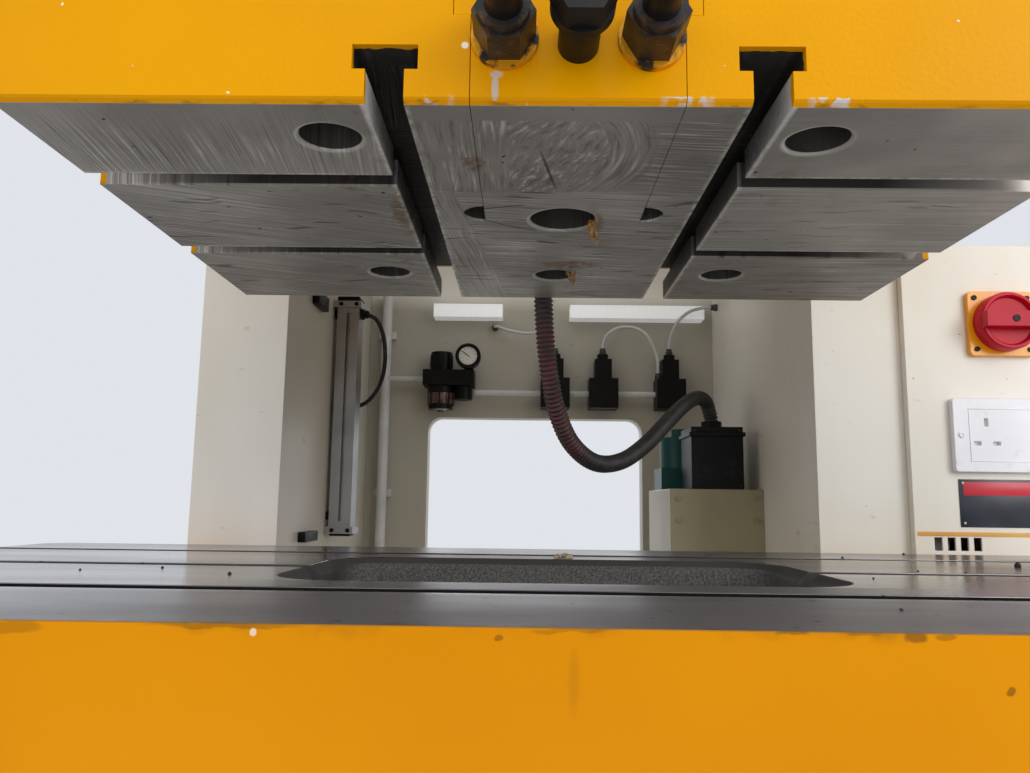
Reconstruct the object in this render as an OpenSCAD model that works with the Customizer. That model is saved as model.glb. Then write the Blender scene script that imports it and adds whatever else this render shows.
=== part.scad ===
// Mechanical stamping press: C-frame, single crank, about 110 tonnes.
// Millimetres. +X is to the right, +Y to the back, +Z up. The floor is z = 0.
// The origin is the centre of the four anchor holes. Inside each module Y is
// counted from the slide's centre line, and place() moves it to the origin.

/* [Frame] */
// Distance between the two cheeks
throat_w = 636; // [600:4:700]
// Thickness of a cheek
cheek_t = 105; // [90:1:120]
// Front of the bed, forward of the slide's centre line
bed_front = 280; // [260:5:320]
// Front of the crown, forward of the slide's centre line
crown_front = 240; // [236:2:256]
// Throat depth, from the slide's centre line to the column
throat_d = 335; // [320:5:380]
// Rear edge of the cheeks, from the slide's centre line
frame_rear = 980; // [960:10:1040]
// Top of the frame above the crank's axis
crown_h = 440; // [424:2:460]
// Height of the bed under the bolster
bed_h = 790; // [740:10:840]
// Clear height from the bed to the crown
gap_h = 660; // [650:5:700]
// Thickness of the welded cross plates
plate_t = 50; // [40:2:56]

/* [Bolster] */
// Width of the bolster
bolster_w = 1120; // [1060:10:1200]
// Depth of the bolster
bolster_d = 598; // [560:2:640]
// Thickness of the bolster
bolster_t = 110; // [90:5:140]
// Width of the drop hole
drop_w = 376; // [320:4:400]
// Depth of the drop hole
drop_d = 220; // [180:4:236]
// Corner radius of the drop hole
drop_r = 40; // [25:1:60]
// Bevel round the drop hole
drop_bevel = 9; // [4:1:14]

/* [Slots] */
// Width of a slot's neck
slot_w = 22; // [18:1:24]
// Height of a slot's neck
slot_neck_h = 20; // [16:1:24]
// Width of a slot's head
slot_head_w = 37; // [32:1:40]
// Height of a slot's head
slot_head_h = 14.5; // [12:0.5:18]
// Width of the slots across the slide
cross_slot_w = 20; // [16:1:24]

/* [Slide] */
// Width of the slide
slide_w = 658; // [600:2:700]
// Slide in front of its centre line
slide_front = 216; // [206:1:222]
// Slide behind its centre line
slide_back = 219; // [206:1:230]
// Die height: bolster to slide at the bottom of the stroke
die_h = 269; // [260:1:275]
// Height of the slide's flange
flange_h = 150; // [146:1:154]
// Height of the whole slide
slide_h = 600; // [580:5:620]
// Width of the guided body
body_w = 460; // [440:4:480]
// Depth of the guided body
body_d = 390; // [370:4:396]
// Distance from the centre line to the long slots
slot_x = 108; // [100:1:116]
// Radius of the knockout and die holes
hole_r = 19; // [14:0.5:21]
// Radius of the shank hole
shank_r = 25; // [19:0.5:28]
// Running gap of the slide in its guides
guide_gap = 0.2; // [0.1:0.05:0.4]

/* [Crank drive] */
// Throw of the crank, half of the stroke
throw_r = 55; // [40:1:58]
// Height of the crank's axis above the bed
crank_up = 1330; // [1310:2:1350]
// Radius of the main journals
journal_r = 85; // [75:1:90]
// Radius of the crank pin
pin_r = 75; // [65:1:80]
// Radial running clearance of shafts
run_gap = 0.05; // [0.02:0.01:0.09]
// Radius of the ball at the foot of the connecting rod
ball_r = 50; // [44:1:52]
// Gear module
gear_m = 6; // [5:1:6]
// Teeth of the main gear
gear_teeth = 90; // [82:4:90]
// Teeth of the pinion
pinion_teeth = 18; // [18:4:22]
// Width of the gear teeth
gear_w = 90; // [70:2:100]
// Outer radius of the flywheel
wheel_r = 356; // [320:2:370]
// Width of the flywheel's rim
wheel_w = 110; // [100:2:130]
// Outer radius of the motor pulley
pulley_r = 92; // [80:1:110]
// Height of the motor's axis above the frame
motor_up = 182; // [170:2:200]
// Number of belts
belt_n = 4; // [2:1:4]

/* [Cabinet] */
// Width of the electrical cabinet
cab_w = 350; // [320:5:400]
// Depth of the electrical cabinet
cab_d = 360; // [320:5:400]
// Underside of the cabinet above the floor
cab_z = 300; // [200:10:400]
// Top of the cabinet above the floor
cab_top = 1266; // [1240:2:1300]
// Thickness of sheet steel
sheet_t = 3; // [2:0.5:4]

/* [Conduit] */
// Outer diameter of the conduit
hose_d = 21; // [19:0.5:22]

/* [Hidden] */
$fn = 48;

cream = "#E4E0D2";
yellow = "#F0A000";
steel = "#8A8884";
black_steel = "#2A2A2E";

cheek_in = throat_w / 2;
cheek_out = cheek_in + cheek_t;
crown_z = bed_h + gap_h;
crank_z = bed_h + crank_up;
frame_h = crank_z + crown_h;
top_in = frame_h - 40;
anchor_front = 200;
anchor_rear = 860;
anchor_x = cheek_out + 57;
anchor_r = 18;
foot_t = 45;
foot_w = 110;
bolt_r = 10;
die_y = -(anchor_rear - anchor_front) / 2;
rear_plate_y = 860;
rear_plate_t = 40;
window_left = 205;
window_right = 186;
window_top = 1106;
window_low = 400;

bolster_top = bed_h + bolster_t;
bolster_slots = [-162, 9, 184];
bolt_x = [-260, 260];
bolt_y = [-212, 212];
drop_y = 9.5;

slide_z = bolster_top + die_h;
flange_top = slide_z + flange_h;
slide_top = slide_z + slide_h;
wing_x = body_w / 2 + 55;
wing_d = 60;
gib_top = crown_z + 500;
cross_slots = [-103.5, 56.5];
shank_y = -27;
shank_depth = 110;
block_x = 60;
block_step_x = 70;
block_step_z = 53;
block_h = 121;
block_back = -22;
seam = 0.4;
relief_r = 16;
relief_y = -40;
stud_x = 41;
stud_r = 10;
stud_z = slide_z + 38;
jack_r = 11.5;
jack_z = slide_z + 35;
hole_depth = 70;
holes = [[-148, -170], [148, -170], [-159, 124], [159, 124], [0, 130]];

stroke = 2 * throw_r;
knock_d = 26;
knock_h = 40;
knock_z = flange_top + 1;
knock_lift = 30;
knock_stop_z = knock_z + knock_h + knock_lift + stroke + 2;
pin_z = crank_z - throw_r;
pin_half = 60;
web_y = 68;
web_t = 42;
web_r = 125;
pin_web_r = 105;
rod_r = 58;
big_end_r = 128;
ball_z = slide_z + 311;
seat_r = rod_r + 4;
well_play = 3;
oil_gap = 13;
seat_low = ball_z - seat_r;
well_z = seat_low - oil_gap;
screw_r = 35;
rod_low = ball_z + 150;
bush_r = 110;
boss_r = 140;
mid_y = 205;
inner_y = 440;
gear_y = 300;
pinion_z = crank_z - gear_m * (gear_teeth + pinion_teeth) / 2;
shaft_r = 40;
shaft_bearing_r = 62;
wheel_y = frame_rear + 26;
wheel_bore_r = 68;
clutch_r = 165;
clutch_y = wheel_y + wheel_w + 4;
groove_depth = 14;
groove_pitch = 22;
belt_h = 11;
motor_z = frame_h + motor_up;
motor_r = 120;
motor_y = frame_rear - 380;
motor_l = 330;
belt_top_r1 = wheel_r - 0.5;
belt_top_r2 = pulley_r - 0.5;
balance_r = 40;
balance_x = throw_r + pin_web_r + balance_r + 15;
balance_y = -120;

rear_z = bed_h + 332;
shelf_top = bed_h + 185;
sensor_y = throat_d + 231;
sensor_w = 32;
sensor_d = 36;
sensor_h = 338;
hand_top = bed_h - 100;
latch_z = cab_z + 480;
valve_x = [26, 113, 234];
valve_half = 26;

cab_y = throat_d - 12;
cab_x2 = cheek_out + cab_w;
door_gap = 1;
pin_x = cab_x2 + 11;
pin_y = cab_y + cab_d + 8;
switch_c = [cheek_out + 112, bolster_top + 268.5];
switch_s = 78;

hose_r = hose_d / 2;
// Conduit route, from the gland on the slide down and round to the junction box
hose_path = [
    [-9, 236, 1206], [-9, 236, 1180], [-8, 237, 1155], [-6, 241, 1127], [-1, 250, 1090],
    [8, 266, 1052], [26, 290, 1018], [56, 326, 999], [92, 370, 1004], [128, 414, 1028],
    [162, 460, 1060], [195, 506, 1090], [222, 546, 1106], [241, 575, 1104], [250, 588, 1086],
    [252, 590, 1076]
];

// Placing and plain forms

module place() translate([0, die_y, 0]) children();

module block(x, y, z) translate([x[0], y[0], z[0]]) cube([x[1] - x[0], y[1] - y[0], z[1] - z[0]]);

module bar_x(y, z, r, x) translate([x[0], y, z]) rotate([0, 90, 0]) cylinder(r = r, h = x[1] - x[0]);

module bar_y(x, z, r, y) translate([x, y[0], z]) rotate([-90, 0, 0]) cylinder(r = r, h = y[1] - y[0]);

module bar_z(x, y, r, z) translate([x, y, z[0]]) cylinder(r = r, h = z[1] - z[0]);

module hex_y(x, z, across, y)
    translate([x, y[0], z]) rotate([-90, 0, 0]) cylinder(r = across / sqrt(3), h = y[1] - y[0], $fn = 6);

module hex_x(y, z, across, x)
    translate([x[0], y, z]) rotate([0, 90, 0]) cylinder(r = across / sqrt(3), h = x[1] - x[0], $fn = 6);

module hex_z(x, y, across, z)
    translate([x, y, z[0]]) cylinder(r = across / sqrt(3), h = z[1] - z[0], $fn = 6);

// A profile drawn as (y, z) and given its width along X
module along_x(x) translate([x[0], 0, 0]) rotate([90, 0, 90]) linear_extrude(x[1] - x[0]) children();

// A profile drawn as (x, z) and given its width along Y
module along_y(y) translate([0, y[1], 0]) rotate([90, 0, 0]) linear_extrude(y[1] - y[0]) children();

module both_sides() {
    children();
    mirror([1, 0, 0]) children();
}

module rounded(x, y, r) {
    translate([x[0] + r, y[0]]) square([x[1] - x[0] - 2 * r, y[1] - y[0]]);
    translate([x[0], y[0] + r]) square([x[1] - x[0], y[1] - y[0] - 2 * r]);
    for (cx = [x[0] + r, x[1] - r]) for (cy = [y[0] + r, y[1] - r]) translate([cx, cy]) circle(r);
}

// T-slot seen from its end: the mouth is at z = 0 and the head is above it
module slot_profile(w) {
    translate([-w / 2, -1]) square([w, slot_neck_h + 2]);
    translate([-slot_head_w / 2, slot_neck_h]) square([slot_head_w, slot_head_h]);
}

// Frame

module cheek_profile() {
    difference() {
        translate([-bed_front, 0]) square([frame_rear + bed_front, frame_h]);
        rounded([-bed_front - 200, throat_d], [bed_h, crown_z], 80);
        // The corner behind the bolster is square, so the bolster can be pushed right back
        translate([0, bed_h]) square([throat_d, gap_h / 2]);
        translate([-bed_front - 1, crown_z - 90]) square([bed_front + 1 - crown_front, frame_h]);
        polygon([[frame_rear + 1, frame_h - 140], [frame_rear + 1, frame_h + 1],
            [rear_plate_y + rear_plate_t + 2, frame_h + 1]]);
        rounded([-110, 250], [330, 640], 70);
        translate([40, 0]) rounded([0, 560], [-60, 90], 45);
    }
}

module gib_bolt_places()
    for (y = [-120, 120]) for (z = [crown_z + 70, gib_top - 90]) translate([0, y, z]) children();

module bearing_hole(z, r, y) bar_y(0, z, r, [y[0] - 1, y[1] + 1]);

module cross_plates() {
    difference() {
        block([-cheek_in, cheek_in], [-bed_front, rear_plate_y], [bed_h - 60, bed_h]);
        block([-drop_w / 2 - 14, drop_w / 2 + 14], [drop_y - drop_d / 2 - 14, drop_y + drop_d / 2 + 14],
            [bed_h - 61, bed_h + 1]);
        for (x = bolt_x) for (y = bolt_y) bar_z(x, y, 12.5, [bed_h - 61, bed_h + 1]);
    }
    difference() {
        block([-cheek_in, cheek_in], [-bed_front, -bed_front + 40], [90, bed_h - 60]);
        along_y([-bed_front - 1, -bed_front + 41]) rounded([-200, 200], [220, 560], 50);
    }
    difference() {
        block([-cheek_in, cheek_in], [rear_plate_y, rear_plate_y + rear_plate_t], [90, top_in]);
        along_y([rear_plate_y - 1, rear_plate_y + rear_plate_t + 1])
            rounded([-window_left, window_right], [window_low, window_top], 25);
        bearing_hole(pinion_z, shaft_bearing_r, [rear_plate_y, rear_plate_y + rear_plate_t]);
    }
    difference() {
        union() {
            block([-cheek_in, cheek_in], [-crown_front, -crown_front + plate_t], [gib_top + 10, top_in]);
            bar_y(0, crank_z, boss_r, [-crown_front + plate_t, -150]);
        }
        bearing_hole(crank_z, bush_r, [-crown_front, -150]);
    }
    difference() {
        union() {
            block([-cheek_in, cheek_in], [mid_y, mid_y + 60], [crown_z, top_in]);
            bar_y(0, crank_z, boss_r, [mid_y - 40, mid_y]);
        }
        bearing_hole(crank_z, bush_r, [mid_y - 40, mid_y + 60]);
        bearing_hole(pinion_z, shaft_bearing_r, [mid_y, mid_y + 60]);
    }
    difference() {
        block([-cheek_in, cheek_in], [inner_y, inner_y + plate_t], [crown_z + 100, top_in]);
        bearing_hole(crank_z, bush_r, [inner_y, inner_y + plate_t]);
        bearing_hole(pinion_z, shaft_bearing_r, [inner_y, inner_y + plate_t]);
    }
    block([-cheek_in, cheek_in], [-crown_front, rear_plate_y + rear_plate_t], [top_in, frame_h]);
}

// One thick cheek with its two foot flanges and their ribs
module cheek() color(cream) difference() {
    union() {
        along_x([cheek_in, cheek_out]) cheek_profile();
        for (y = [-anchor_front, anchor_rear]) {
            block([cheek_out, cheek_out + foot_w], [y - 75, y + 75], [0, foot_t]);
            for (s = [-66, 66]) along_y([y + s - 8, y + s + 8])
                polygon([[cheek_out, foot_t], [cheek_out + foot_w - 5, foot_t],
                    [cheek_out, foot_t + 150]]);
        }
    }
    gib_bolt_places() bar_x(0, 0, bolt_r + 0.3, [cheek_in - 1, cheek_out + 1]);
    for (y = [-anchor_front, anchor_rear]) bar_z(anchor_x, y, anchor_r, [-1, foot_t + 1]);
}

module right_cheek() place() cheek();

module left_cheek() place() mirror([1, 0, 0]) cheek();

module frame_plates() color(cream) place() cross_plates();

// Anchor washers, the gibs' bolts through the cheeks, and the bolster's bolts from below
module frame_bolts() color(black_steel) place() {
    both_sides() for (y = [-anchor_front, anchor_rear]) difference() {
        bar_z(anchor_x, y, 34, [foot_t, foot_t + 8]);
        bar_z(anchor_x, y, anchor_r, [foot_t - 1, foot_t + 9]);
    }
    both_sides() gib_bolt_places() {
        bar_x(0, 0, bolt_r, [cheek_in, cheek_out + 1]);
        hex_x(0, 0, 30, [cheek_out, cheek_out + 13]);
    }
    for (x = bolt_x) for (y = bolt_y) {
        bar_z(x, y, 12, [bed_h - 62, bed_h + 39]);
        hex_z(x, y, 36, [bed_h - 75, bed_h - 60]);
    }
}

// Bolster

module drop_bevel_cut() {
    x = drop_w / 2 - drop_r;
    y = drop_d / 2 - drop_r;
    b = drop_bevel;
    translate([0, drop_y, bolster_top - b]) {
        for (sx = [-x, x]) for (sy = [-y, y]) translate([sx, sy, 0])
            cylinder(r1 = drop_r, r2 = drop_r + b + 1, h = b + 1);
        rotate([90, 0, 0]) translate([0, 0, -y]) linear_extrude(2 * y)
            polygon([[-x - drop_r, 0], [x + drop_r, 0], [x + drop_r + b + 1, b + 1],
                [-x - drop_r - b - 1, b + 1]]);
        rotate([90, 0, 90]) translate([0, 0, -x]) linear_extrude(2 * x)
            polygon([[-y - drop_r, 0], [y + drop_r, 0], [y + drop_r + b + 1, b + 1],
                [-y - drop_r - b - 1, b + 1]]);
    }
}

module bolster_outline() {
    w = bolster_w / 2;
    d = bolster_d / 2;
    c = 18;
    polygon([[-w + c, -d], [w - c, -d], [w, -d + c], [w, d - c], [w - c, d], [-w + c, d], [-w, d - c],
        [-w, -d + c]]);
}

module bolster() color(yellow) place() difference() {
    translate([0, 0, bed_h]) linear_extrude(bolster_t) bolster_outline();
    for (y = bolster_slots) translate([0, y, bolster_top]) mirror([0, 0, 1])
        along_x([-bolster_w / 2 - 1, bolster_w / 2 + 1]) slot_profile(slot_w);
    translate([0, drop_y, bed_h - 1]) linear_extrude(bolster_t + 2)
        rounded([-drop_w / 2, drop_w / 2], [-drop_d / 2, drop_d / 2], drop_r);
    drop_bevel_cut();
    for (x = bolt_x) for (y = bolt_y) bar_z(x, y, 12, [bed_h - 1, bed_h + 40]);
}

// Slide

module slide_flange_outline() {
    // Profile along X: the front and rear bottom edges have a small bevel
    c = 3.5;
    polygon([[-slide_front + c, slide_z], [slide_back - c, slide_z], [slide_back, slide_z + c],
        [slide_back, flange_top], [-slide_front, flange_top], [-slide_front, slide_z + c]]);
}

module slide_slots() {
    both_sides() translate([slot_x, 0, slide_z]) along_y([-slide_front - 1, slide_back + 1])
        slot_profile(slot_w);
    both_sides() for (y = cross_slots) translate([0, y, slide_z])
        along_x([slot_x, slide_w / 2 + 1]) slot_profile(cross_slot_w);
}

module chamfered_hole(x, y, r, depth) {
    bar_z(x, y, r, [slide_z - 1, slide_z + depth]);
    translate([x, y, slide_z - 1]) cylinder(r1 = r + 2.5, r2 = r, h = 2.5);
}

module block_pocket(gap) {
    block([-block_x - gap, block_x + gap], [-slide_front - 1, block_back + gap],
        [slide_z - 1, slide_z + block_step_z + 1]);
    block([-block_step_x - gap, block_step_x + gap], [-slide_front - 1, block_back + gap],
        [slide_z + block_step_z, slide_z + block_h + gap]);
}

module slide() color(yellow) place() difference() {
    union() {
        along_x([-slide_w / 2, slide_w / 2]) slide_flange_outline();
        block([-body_w / 2, body_w / 2], [-body_d / 2, body_d / 2], [flange_top - 1, slide_top]);
        block([-wing_x, wing_x], [-wing_d, wing_d], [flange_top + 10, slide_top]);
        both_sides() for (x = [90, 200]) along_x([x, x + 18])
            polygon([[-slide_front + 6, flange_top - 1], [-body_d / 2, flange_top - 1],
                [-body_d / 2, flange_top + 90]]);
    }
    slide_slots();
    for (p = holes) chamfered_hole(p[0], p[1], hole_r, hole_depth);
    chamfered_hole(0, shank_y, shank_r, shank_depth);
    block_pocket(seam);
    both_sides() intersection() {
        bar_z(block_x, relief_y, relief_r, [slide_z - 1, slide_z + block_h]);
        block([block_x, block_x + relief_r], [relief_y - relief_r, relief_y + relief_r],
            [slide_z - 1, slide_z + block_h]);
    }
    both_sides() bar_y(stud_x, stud_z, stud_r + 0.05, [block_back - 1, 30]);
    // Well for the ball of the connecting rod and its seat
    block([-seat_r - well_play, seat_r + throw_r + well_play], [-seat_r - well_play, seat_r + well_play],
        [well_z, slide_top + 1]);
    // Slot of the knockout bar
    block([-wing_x - 1, wing_x + 1], [-knock_d / 2 - 2, knock_d / 2 + 2],
        [knock_z, knock_z + knock_h + knock_lift + 2]);
    both_sides() bar_z(balance_x, balance_y, 8.05, [slide_top - 60, slide_top + 1]);
}

module clamp_block() color(yellow) place() difference() {
    union() {
        block([-block_x, block_x], [-slide_front, block_back], [slide_z, slide_z + block_step_z + 1]);
        block([-block_step_x, block_step_x], [-slide_front, block_back],
            [slide_z + block_step_z, slide_z + block_h]);
    }
    along_x([-block_step_x, block_step_x]) polygon([[-slide_front - 1, slide_z - 1],
        [-slide_front + 3.5, slide_z - 1], [-slide_front + 3.5, slide_z], [-slide_front, slide_z + 3.5],
        [-slide_front - 1, slide_z + 3.5]]);
    chamfered_hole(0, shank_y, shank_r, shank_depth);
    both_sides() bar_y(stud_x, stud_z, stud_r + 0.5, [-slide_front - 1, block_back + 1]);
    bar_y(0, jack_z, jack_r + 0.05, [-slide_front - 1, shank_y]);
}

module clamp_studs() color(black_steel) place()
    both_sides() bar_y(stud_x, stud_z, stud_r, [-slide_front - 58, 28]);

module clamp_nuts() color(black_steel) place() both_sides() difference() {
    union() {
        bar_y(stud_x, stud_z, 19, [-slide_front - 4, -slide_front]);
        hex_y(stud_x, stud_z, 30, [-slide_front - 28, -slide_front - 4]);
        bar_y(stud_x, stud_z, 14, [-slide_front - 34, -slide_front - 28]);
    }
    bar_y(stud_x, stud_z, stud_r + 0.05, [-slide_front - 35, -slide_front + 1]);
}

module jack_screw() color(black_steel) place() {
    bar_y(0, jack_z, jack_r, [-slide_front - 34, shank_y - shank_r - 1]);
    bar_y(0, jack_z, 17, [-slide_front - 40, -slide_front - 34]);
    hex_y(0, jack_z, 30, [-slide_front - 58, -slide_front - 40]);
}

// Guides

module gibs() color(steel) place() both_sides() for (front = [-1, 1]) difference() {
    y = front < 0 ? [-180, -wing_d - guide_gap] : [wing_d + guide_gap, 180];
    union() {
        block([body_w / 2 + guide_gap, cheek_in], y, [crown_z, gib_top]);
    }
    block([body_w / 2 + 40, cheek_in - 30], front < 0 ? [-181, -150] : [150, 181],
        [crown_z + 120, gib_top - 140]);
}

module knockout_bar() color(steel) place()
    block([-wing_x - 20, wing_x + 20], [-knock_d / 2, knock_d / 2], [knock_z, knock_z + knock_h]);

// Stop screws in brackets on the cheeks, just above the bar's highest place
module knockout_stops() color(black_steel) place() both_sides() {
    block([wing_x + 2, cheek_in], [-30, 30], [knock_stop_z + 28, knock_stop_z + 78]);
    bar_z(wing_x + 12, 0, 8, [knock_stop_z, knock_stop_z + 29]);
}

// Crank drive

module web(y) along_y(y) {
    translate([0, crank_z]) circle(web_r);
    translate([0, pin_z]) circle(pin_web_r);
}

module crankshaft() color(steel) place() {
    bar_y(0, crank_z, 18, [-crown_front - 44, -crown_front]);
    bar_y(0, crank_z, journal_r, [-crown_front, -web_y]);
    web([-web_y - web_t, -web_y]);
    bar_y(0, pin_z, pin_r, [-web_y - 1, web_y + 1]);
    web([web_y, web_y + web_t]);
    bar_y(0, crank_z, journal_r, [web_y, inner_y + plate_t + 30]);
}

module crank_bushes() color("#B08D57") place()
    for (y = [[-crown_front, -150], [mid_y - 40, mid_y + 60], [inner_y, inner_y + plate_t]]) difference() {
        bar_y(0, crank_z, bush_r, y);
        bearing_hole(crank_z, journal_r + run_gap, y);
    }

function inv_deg(a) = tan(a) * 180 / PI - a;

// Half of a tooth's angle at radius r, with a little taken off for backlash
function half_angle(teeth, r) =
    let (pitch_r = teeth * gear_m / 2, base_r = pitch_r * cos(20), lash = 0.35)
    90 / teeth - lash / pitch_r * 180 / PI + inv_deg(20) - (r > base_r ? inv_deg(acos(base_r / r)) : 0);

function polar(r, a) = [r * cos(a), r * sin(a)];

function gear_points(teeth, turn) = [
    for (k = [0 : teeth - 1])
        let (c = turn + k * 360 / teeth, pitch_r = teeth * gear_m / 2)
        let (root = pitch_r - 1.25 * gear_m, tip = pitch_r + gear_m)
        for (s = [[root, -1], [pitch_r, -1], [tip, -1], [tip, 1], [pitch_r, 1], [root, 1]])
            polar(s[0], c + s[1] * half_angle(teeth, s[0]))
];

module main_gear() color(steel) place() difference() {
    translate([0, 0, crank_z]) along_y([gear_y, gear_y + gear_w])
        polygon(gear_points(gear_teeth, 0));
    bearing_hole(crank_z, journal_r, [gear_y, gear_y + gear_w]);
    for (a = [0 : 60 : 300]) translate([0, 0, crank_z]) rotate([0, a, 0])
        bar_y(170, 0, 38, [gear_y - 1, gear_y + gear_w + 1]);
}

module pinion_shaft() color(steel) place() {
    bar_y(0, pinion_z, shaft_r, [mid_y, wheel_y + wheel_w + 90]);
    translate([0, 0, pinion_z]) along_y([gear_y - 5, gear_y + gear_w + 5])
        polygon(gear_points(pinion_teeth, 180 / pinion_teeth));
}

module shaft_bearings() color("#9A9C9E") place()
    for (y = [[mid_y, mid_y + 60], [inner_y, inner_y + plate_t],
        [rear_plate_y, rear_plate_y + rear_plate_t]]) difference() {
        bar_y(0, pinion_z, shaft_bearing_r, y);
        bearing_hole(pinion_z, shaft_r + run_gap, y);
    }

module connecting_rod() color("#6A6C70") place() difference() {
    union() {
        intersection() {
            bar_y(0, pin_z, big_end_r, [-pin_half, pin_half]);
            block([-200, 200], [-100, 100], [pin_z - 200, pin_z]);
        }
        bar_z(0, 0, rod_r, [rod_low, pin_z - big_end_r + 20]);
        bar_z(0, 0, rod_r - 4, [rod_low - 20, rod_low]);
        both_sides() block([pin_r + 12, big_end_r + 10], [-28, 28], [pin_z - 44, pin_z]);
    }
    bar_y(0, pin_z, pin_r + run_gap, [-pin_half - 1, pin_half + 1]);
    bar_z(0, 0, screw_r + 0.05, [rod_low - 21, rod_low + 190]);
    both_sides() bar_z(pin_r + 36, 0, 10.05, [pin_z - 40, pin_z + 1]);
}

module rod_cap() color("#6A6C70") place() difference() {
    union() {
        intersection() {
            bar_y(0, pin_z, big_end_r, [-pin_half, pin_half]);
            block([-200, 200], [-100, 100], [pin_z, pin_z + 200]);
        }
        both_sides() block([pin_r + 12, big_end_r + 10], [-28, 28], [pin_z, pin_z + 44]);
    }
    bar_y(0, pin_z, pin_r + run_gap, [-pin_half - 1, pin_half + 1]);
    both_sides() bar_z(pin_r + 36, 0, 10.5, [pin_z - 1, pin_z + 45]);
    both_sides() block([pin_r + 36 - 16, pin_r + 60], [-29, 29], [pin_z + 44, pin_z + 110]);
}

module rod_bolts() color(black_steel) place() both_sides() {
    bar_z(pin_r + 36, 0, 10, [pin_z - 38, pin_z + 45]);
    hex_z(pin_r + 36, 0, 27, [pin_z + 44, pin_z + 57]);
}

module adjusting_screw() color(steel) place() {
    translate([0, 0, ball_z]) sphere(ball_r);
    bar_z(0, 0, screw_r, [ball_z + 30, rod_low + 180]);
}

module ball_seat() color("#B08D57") place() difference() {
    bar_z(0, 0, seat_r, [seat_low, ball_z]);
    translate([0, 0, ball_z]) sphere(ball_r + run_gap);
}

module ball_retainer() color(steel) place() difference() {
    bar_z(0, 0, seat_r, [ball_z, ball_z + 46]);
    translate([0, 0, ball_z]) sphere(ball_r + run_gap);
    bar_z(0, 0, screw_r + 1, [ball_z, ball_z + 47]);
}

// Flywheel, clutch and motor

// Half section of a rim with V grooves, drawn as (radius, y)
module grooved_section(r_in, r_out, y, first) difference() {
    translate([r_in, y[0]]) square([r_out - r_in, y[1] - y[0]]);
    for (k = [0 : belt_n - 1]) translate([r_out, first + k * groove_pitch])
        polygon([[1, -9], [1, 9], [0, 8.6], [-groove_depth, 4], [-groove_depth, -4], [0, -8.6]]);
}

module spin_y(z) translate([0, 0, z]) rotate([-90, 0, 0]) rotate_extrude($fn = 96) children();

first_groove = wheel_y + wheel_w / 2 - (belt_n - 1) * groove_pitch / 2;

module flywheel() color("#5A6066") place() difference() {
    union() {
        spin_y(pinion_z) grooved_section(wheel_r - 60, wheel_r, [wheel_y, wheel_y + wheel_w],
            first_groove);
        spin_y(pinion_z) translate([wheel_bore_r, wheel_y + 30]) square([wheel_r - 59 - wheel_bore_r, 45]);
        spin_y(pinion_z) translate([wheel_bore_r, wheel_y]) square([50, wheel_w]);
    }
    for (a = [30 : 60 : 330]) translate([0, 0, pinion_z]) rotate([0, a, 0])
        bar_y(205, 0, 40, [wheel_y + 29, wheel_y + 76]);
}

module wheel_bearing() color("#9A9C9E") place() difference() {
    bar_y(0, pinion_z, wheel_bore_r - run_gap, [wheel_y, wheel_y + wheel_w]);
    bearing_hole(pinion_z, shaft_r, [wheel_y, wheel_y + wheel_w]);
}

module clutch_drum() color("#4A4E54") place() difference() {
    union() {
        bar_y(0, pinion_z, clutch_r, [clutch_y, clutch_y + 56]);
        bar_y(0, pinion_z, 60, [clutch_y + 56, clutch_y + 100]);
        for (a = [0 : 45 : 315]) translate([0, 0, pinion_z]) rotate([0, a, 0])
            hex_y(140, 0, 19, [clutch_y + 55, clutch_y + 67]);
    }
    bearing_hole(pinion_z, shaft_r, [clutch_y, wheel_y + wheel_w + 90]);
}

module motor() color("#5C7480") place() difference() {
    union() {
        bar_y(0, motor_z, motor_r - 12, [motor_y, motor_y + motor_l]);
        bar_y(0, motor_z, motor_r, [motor_y + motor_l - 30, motor_y + motor_l]);
        bar_y(0, motor_z, motor_r, [motor_y + 60, motor_y + 74]);
        bar_y(0, motor_z, motor_r + 2, [motor_y - 60, motor_y + 10]);
        for (a = [0 : 15 : 345]) translate([0, 0, motor_z]) rotate([0, a, 0])
            block([motor_r - 16, motor_r], [motor_y + 70, motor_y + motor_l - 28], [-2, 2]);
        block([-90, 90], [motor_y + 90, motor_y + 250], [motor_z - motor_r - 6, motor_z - 60]);
        block([-55, 55], [motor_y + 110, motor_y + 220], [motor_z + 80, motor_z + 150]);
    }
    bar_y(0, motor_z, 19.1, [motor_y + 100, motor_y + motor_l + 1]);
    for (a = [0 : 30 : 330]) translate([0, 0, motor_z]) rotate([0, a, 0])
        block([40, 90], [motor_y - 61, motor_y - 50], [-5, 5]);
}

module motor_pulley() color("#5A6066") place() {
    bar_y(0, motor_z, 19, [motor_y + 110, wheel_y + wheel_w]);
    spin_y(motor_z) grooved_section(18, pulley_r, [wheel_y + 6, wheel_y + wheel_w - 6], first_groove);
}

module motor_bracket() color(cream) place() {
    block([-150, 150], [motor_y + 60, motor_y + 280], [frame_h, frame_h + 20]);
    both_sides() block([60, 90], [motor_y + 90, motor_y + 250],
        [frame_h + 20, motor_z - motor_r - 6]);
    both_sides() for (y = [motor_y + 80, motor_y + 260]) hex_z(125, y, 24, [frame_h + 20, frame_h + 34]);
}

// Belts: trapezoid sections swept round both pulleys and along the two runs
belt_lean = asin((belt_top_r1 - belt_top_r2) / (motor_z - pinion_z));
belt_run = (motor_z - pinion_z) * cos(belt_lean);

module belt_section() polygon([[-belt_h, -4.5], [0, -8], [0, 8], [-belt_h, 4.5]]);

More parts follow.
